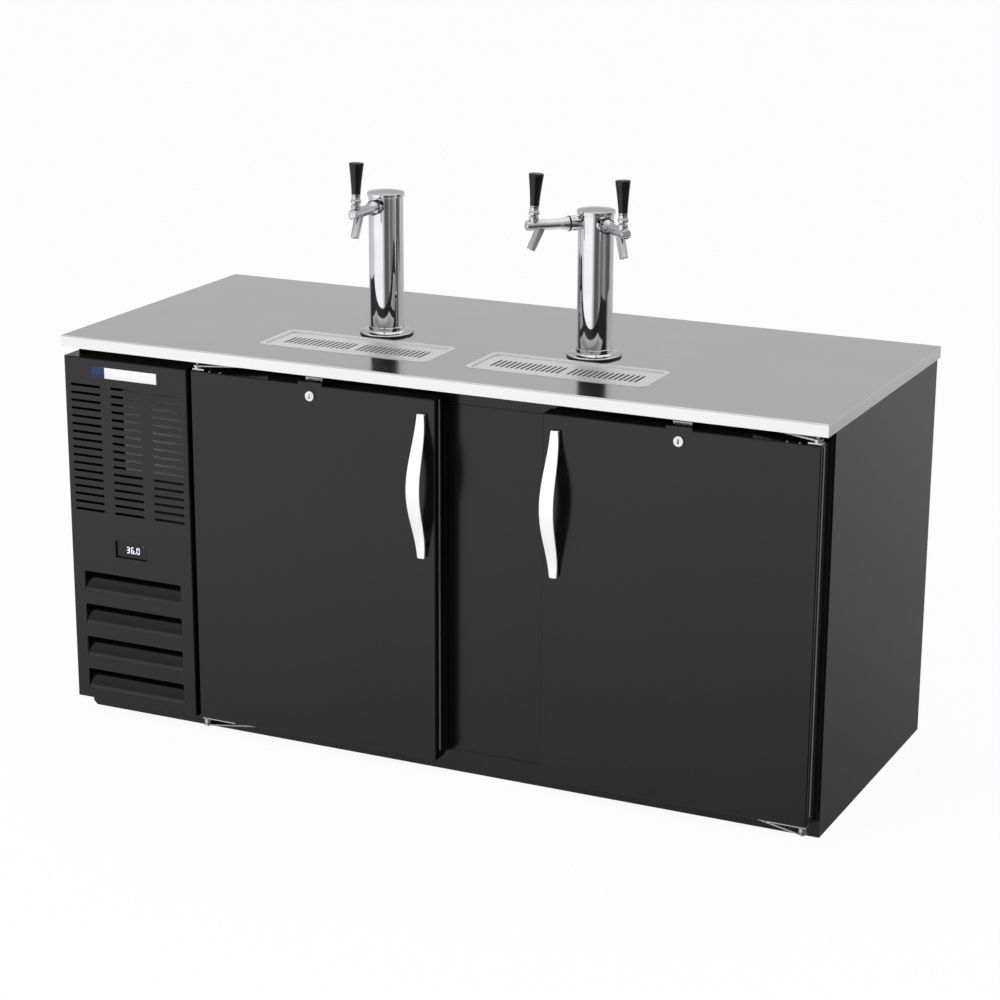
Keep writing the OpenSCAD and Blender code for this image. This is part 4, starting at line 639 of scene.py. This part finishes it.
def studio_world():
    world = bpy.data.worlds.new("white_studio")
    bpy.context.scene.world = world
    world.use_nodes = True
    tree = world.node_tree
    tree.nodes.clear()
    ray = add(tree, "LightPath")
    split = add(tree, "SeparateXYZ", inputs={0: add(tree, "TexCoord").outputs["Generated"]})
    back = add(tree, "Math", {"operation": "MULTIPLY"}, {0: split.outputs["Y"], 1: -1.0})
    turn = add(tree, "Math", {"operation": "ARCTAN2"}, {0: split.outputs["X"], 1: back.outputs[0]})
    turn_part = add(tree, "MapRange", inputs={"Value": turn.outputs[0], "From Min": -math.pi, "From Max": math.pi})
    rise = add(tree, "Math", {"operation": "ARCSINE"}, {0: split.outputs["Z"]})
    rise_part = add(tree, "MapRange", inputs={"Value": rise.outputs[0], "From Min": -math.pi / 2,
                                              "From Max": math.pi / 2})

    def levels(half, *pairs):
        """Ramp stops from pairs of an angle and a grey level, over plus and minus this half turn."""
        return {"stops": [((angle + half) / (2 * half), grey(level)) for angle, level in pairs]}

    # Grey levels of the room's surfaces, a plain studio laid out in round angles
    box, ceiling, wall, band, strip, gap, flat, drape = 1.0, 0.9, 0.6, 0.42, 0.3, 0.2, 0.1, 0.004
    # Round the room from the rear over the left, the front and the right: one large soft box, then two strip lamps
    # between black flats
    around = add(tree, "ValToRGB", levels(
        180, (-180, wall), (-70, wall), (-50, box), (0, box), (20, flat), (40, flat), (50, strip), (60, flat),
        (80, strip), (100, flat), (120, flat), (140, wall), (180, wall)), {"Fac": turn_part.outputs["Result"]})
    # The box stands clear of the floor. Above it an even grey band runs all round, and overhead it is bright
    boxes = ((-90, wall), (-40, wall), (-25, gap), (-18, box), (5, box))
    ahead = add(tree, "ValToRGB", levels(
        90, *boxes, (9, band), (20, band), (45, wall), (65, ceiling), (90, ceiling)),
        {"Fac": rise_part.outputs["Result"]})
    # What is mirrored twice, such as a column in the counter, meets black drapes in front
    draped = add(tree, "ValToRGB", levels(
        90, *boxes, (8, drape), (30, drape), (45, flat), (65, ceiling), (90, ceiling)),
        {"Fac": rise_part.outputs["Result"]})
    behind = add(tree, "ValToRGB", levels(
        90, (-90, gap), (-25, gap), (-10, ceiling), (4, ceiling), (12, band), (27, band), (40, ceiling), (90, ceiling)),
        {"Fac": rise_part.outputs["Result"]})
    overhead = add(tree, "MapRange", inputs={"Value": rise.outputs[0], "From Min": math.radians(4),
                                             "From Max": math.radians(12)})
    ring = add(tree, "Mix", {"data_type": "RGBA"},
               {"Factor": overhead.outputs["Result"], "A": around.outputs["Color"], "B": grey(1.0)})
    twice = add(tree, "Math", {"operation": "GREATER_THAN"}, {0: ray.outputs["Glossy Depth"], 1: 1.5})
    front = add(tree, "Mix", {"data_type": "RGBA"},
                {"Factor": twice.outputs[0], "A": ahead.outputs["Color"], "B": draped.outputs["Color"]})
    facing = add(tree, "MapRange", inputs={"Value": back.outputs[0], "From Min": -0.5, "From Max": -0.2})
    height = add(tree, "Mix", {"data_type": "RGBA"},
                 {"Factor": facing.outputs["Result"], "A": behind.outputs["Color"], "B": front.outputs["Result"]})
    room = add(tree, "Mix", {"data_type": "RGBA", "blend_type": "MULTIPLY"},
               {"Factor": 1.0, "A": ring.outputs["Result"], "B": height.outputs["Result"]})
    seen = add(tree, "Background", inputs={"Color": room.outputs["Result"], "Strength": 1.0})
    soft = add(tree, "Background", inputs={"Color": grey(1.0), "Strength": 0.62})
    white = add(tree, "Background", inputs={"Color": grey(1.0), "Strength": 1.0})
    mirror = add(tree, "Math", {"operation": "MAXIMUM"},
                 {0: ray.outputs["Is Glossy Ray"], 1: ray.outputs["Is Transmission Ray"]})
    lit = add(tree, "MixShader", inputs={"Fac": mirror.outputs[0], 1: soft.outputs[0], 2: seen.outputs[0]})
    shown = add(tree, "MixShader", inputs={"Fac": ray.outputs["Is Camera Ray"], 1: lit.outputs[0],
                                           2: white.outputs[0]})
    add(tree, "OutputWorld", inputs={"Surface": shown.outputs[0]})


def pale_floor():
    # Studio paper, matt white: seen by the camera mostly as plain white, with the object's soft shadow in it.
    material = bpy.data.materials.new("paper_sweep_matt_white")
    material.use_nodes = True
    tree = material.node_tree
    tree.nodes.clear()
    ray = add(tree, "LightPath")
    grain = add(tree, "TexNoise", inputs={"Vector": add(tree, "TexCoord").outputs["Object"], "Scale": per(900)})
    tone = add(tree, "ValToRGB", {"stops": [(0.3, linear("#f4f4f4")), (0.7, linear("#f8f8f8"))]},
               {"Fac": grain.outputs["Fac"]})
    paper = add(tree, "BsdfDiffuse", inputs={"Color": tone.outputs["Color"]})
    white = add(tree, "Emission", inputs={"Color": grey(1.0), "Strength": 1.0})
    share = add(tree, "Math", {"operation": "MULTIPLY"}, {0: ray.outputs["Is Camera Ray"], 1: 0.94})
    mixed = add(tree, "MixShader", inputs={"Fac": share.outputs[0], 1: paper.outputs[0], 2: white.outputs[0]})
    add(tree, "OutputMaterial", inputs={"Surface": mixed.outputs[0]})
    bm = bmesh.new()
    bmesh.ops.create_grid(bm, x_segments=2, y_segments=2, size=45)
    mesh = bpy.data.meshes.new("floor")
    bm.to_mesh(mesh)
    bm.free()
    mesh.materials.append(material)
    floor = bpy.data.objects.new("floor", mesh)
    bpy.context.collection.objects.link(floor)
    floor.visible_glossy = False
    floor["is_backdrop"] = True


def soft_lamp(name, place, target, size, power):
    lamp = bpy.data.lights.new(name, "AREA")
    lamp.shape = "DISK"
    lamp.size = size
    lamp.energy = power
    obj = bpy.data.objects.new(name, lamp)
    obj.location = place
    obj.rotation_euler = (Vector(target) - Vector(place)).to_track_quat("-Z", "Y").to_euler()
    obj.visible_glossy = False
    bpy.context.collection.objects.link(obj)


studio_world()
pale_floor()
soft_lamp("key_lamp", (-2.2, -4.2, 4.4), (0, 0, 0.5), 2.6, 150)
soft_lamp("fill_lamp", (4.2, -2.6, 3.0), (0, 0, 0.6), 2.6, 60)

# Camera: placed from the photograph's own edges, in metres and degrees. The photograph is cut a little off centre.

CAMERA_PLACE = (2.52346, -5.35314, 2.26067)
CAMERA_TURN = 26.187
CAMERA_DIP = 17.18
CAMERA_LENS = 96.258
CAMERA_SHIFT = (0.0408, 0.0419)
camera = bpy.data.cameras.new("photo_camera")
camera.lens = CAMERA_LENS
camera.sensor_width = 36
camera.shift_x, camera.shift_y = CAMERA_SHIFT
camera.clip_end = 100
viewer = bpy.data.objects.new("photo_camera", camera)
viewer.location = CAMERA_PLACE
viewer.rotation_euler = (math.radians(90 - CAMERA_DIP), 0, math.radians(CAMERA_TURN))
bpy.context.collection.objects.link(viewer)
bpy.context.scene.camera = viewer
bpy.context.scene.view_settings.view_transform = "Standard"

low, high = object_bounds()
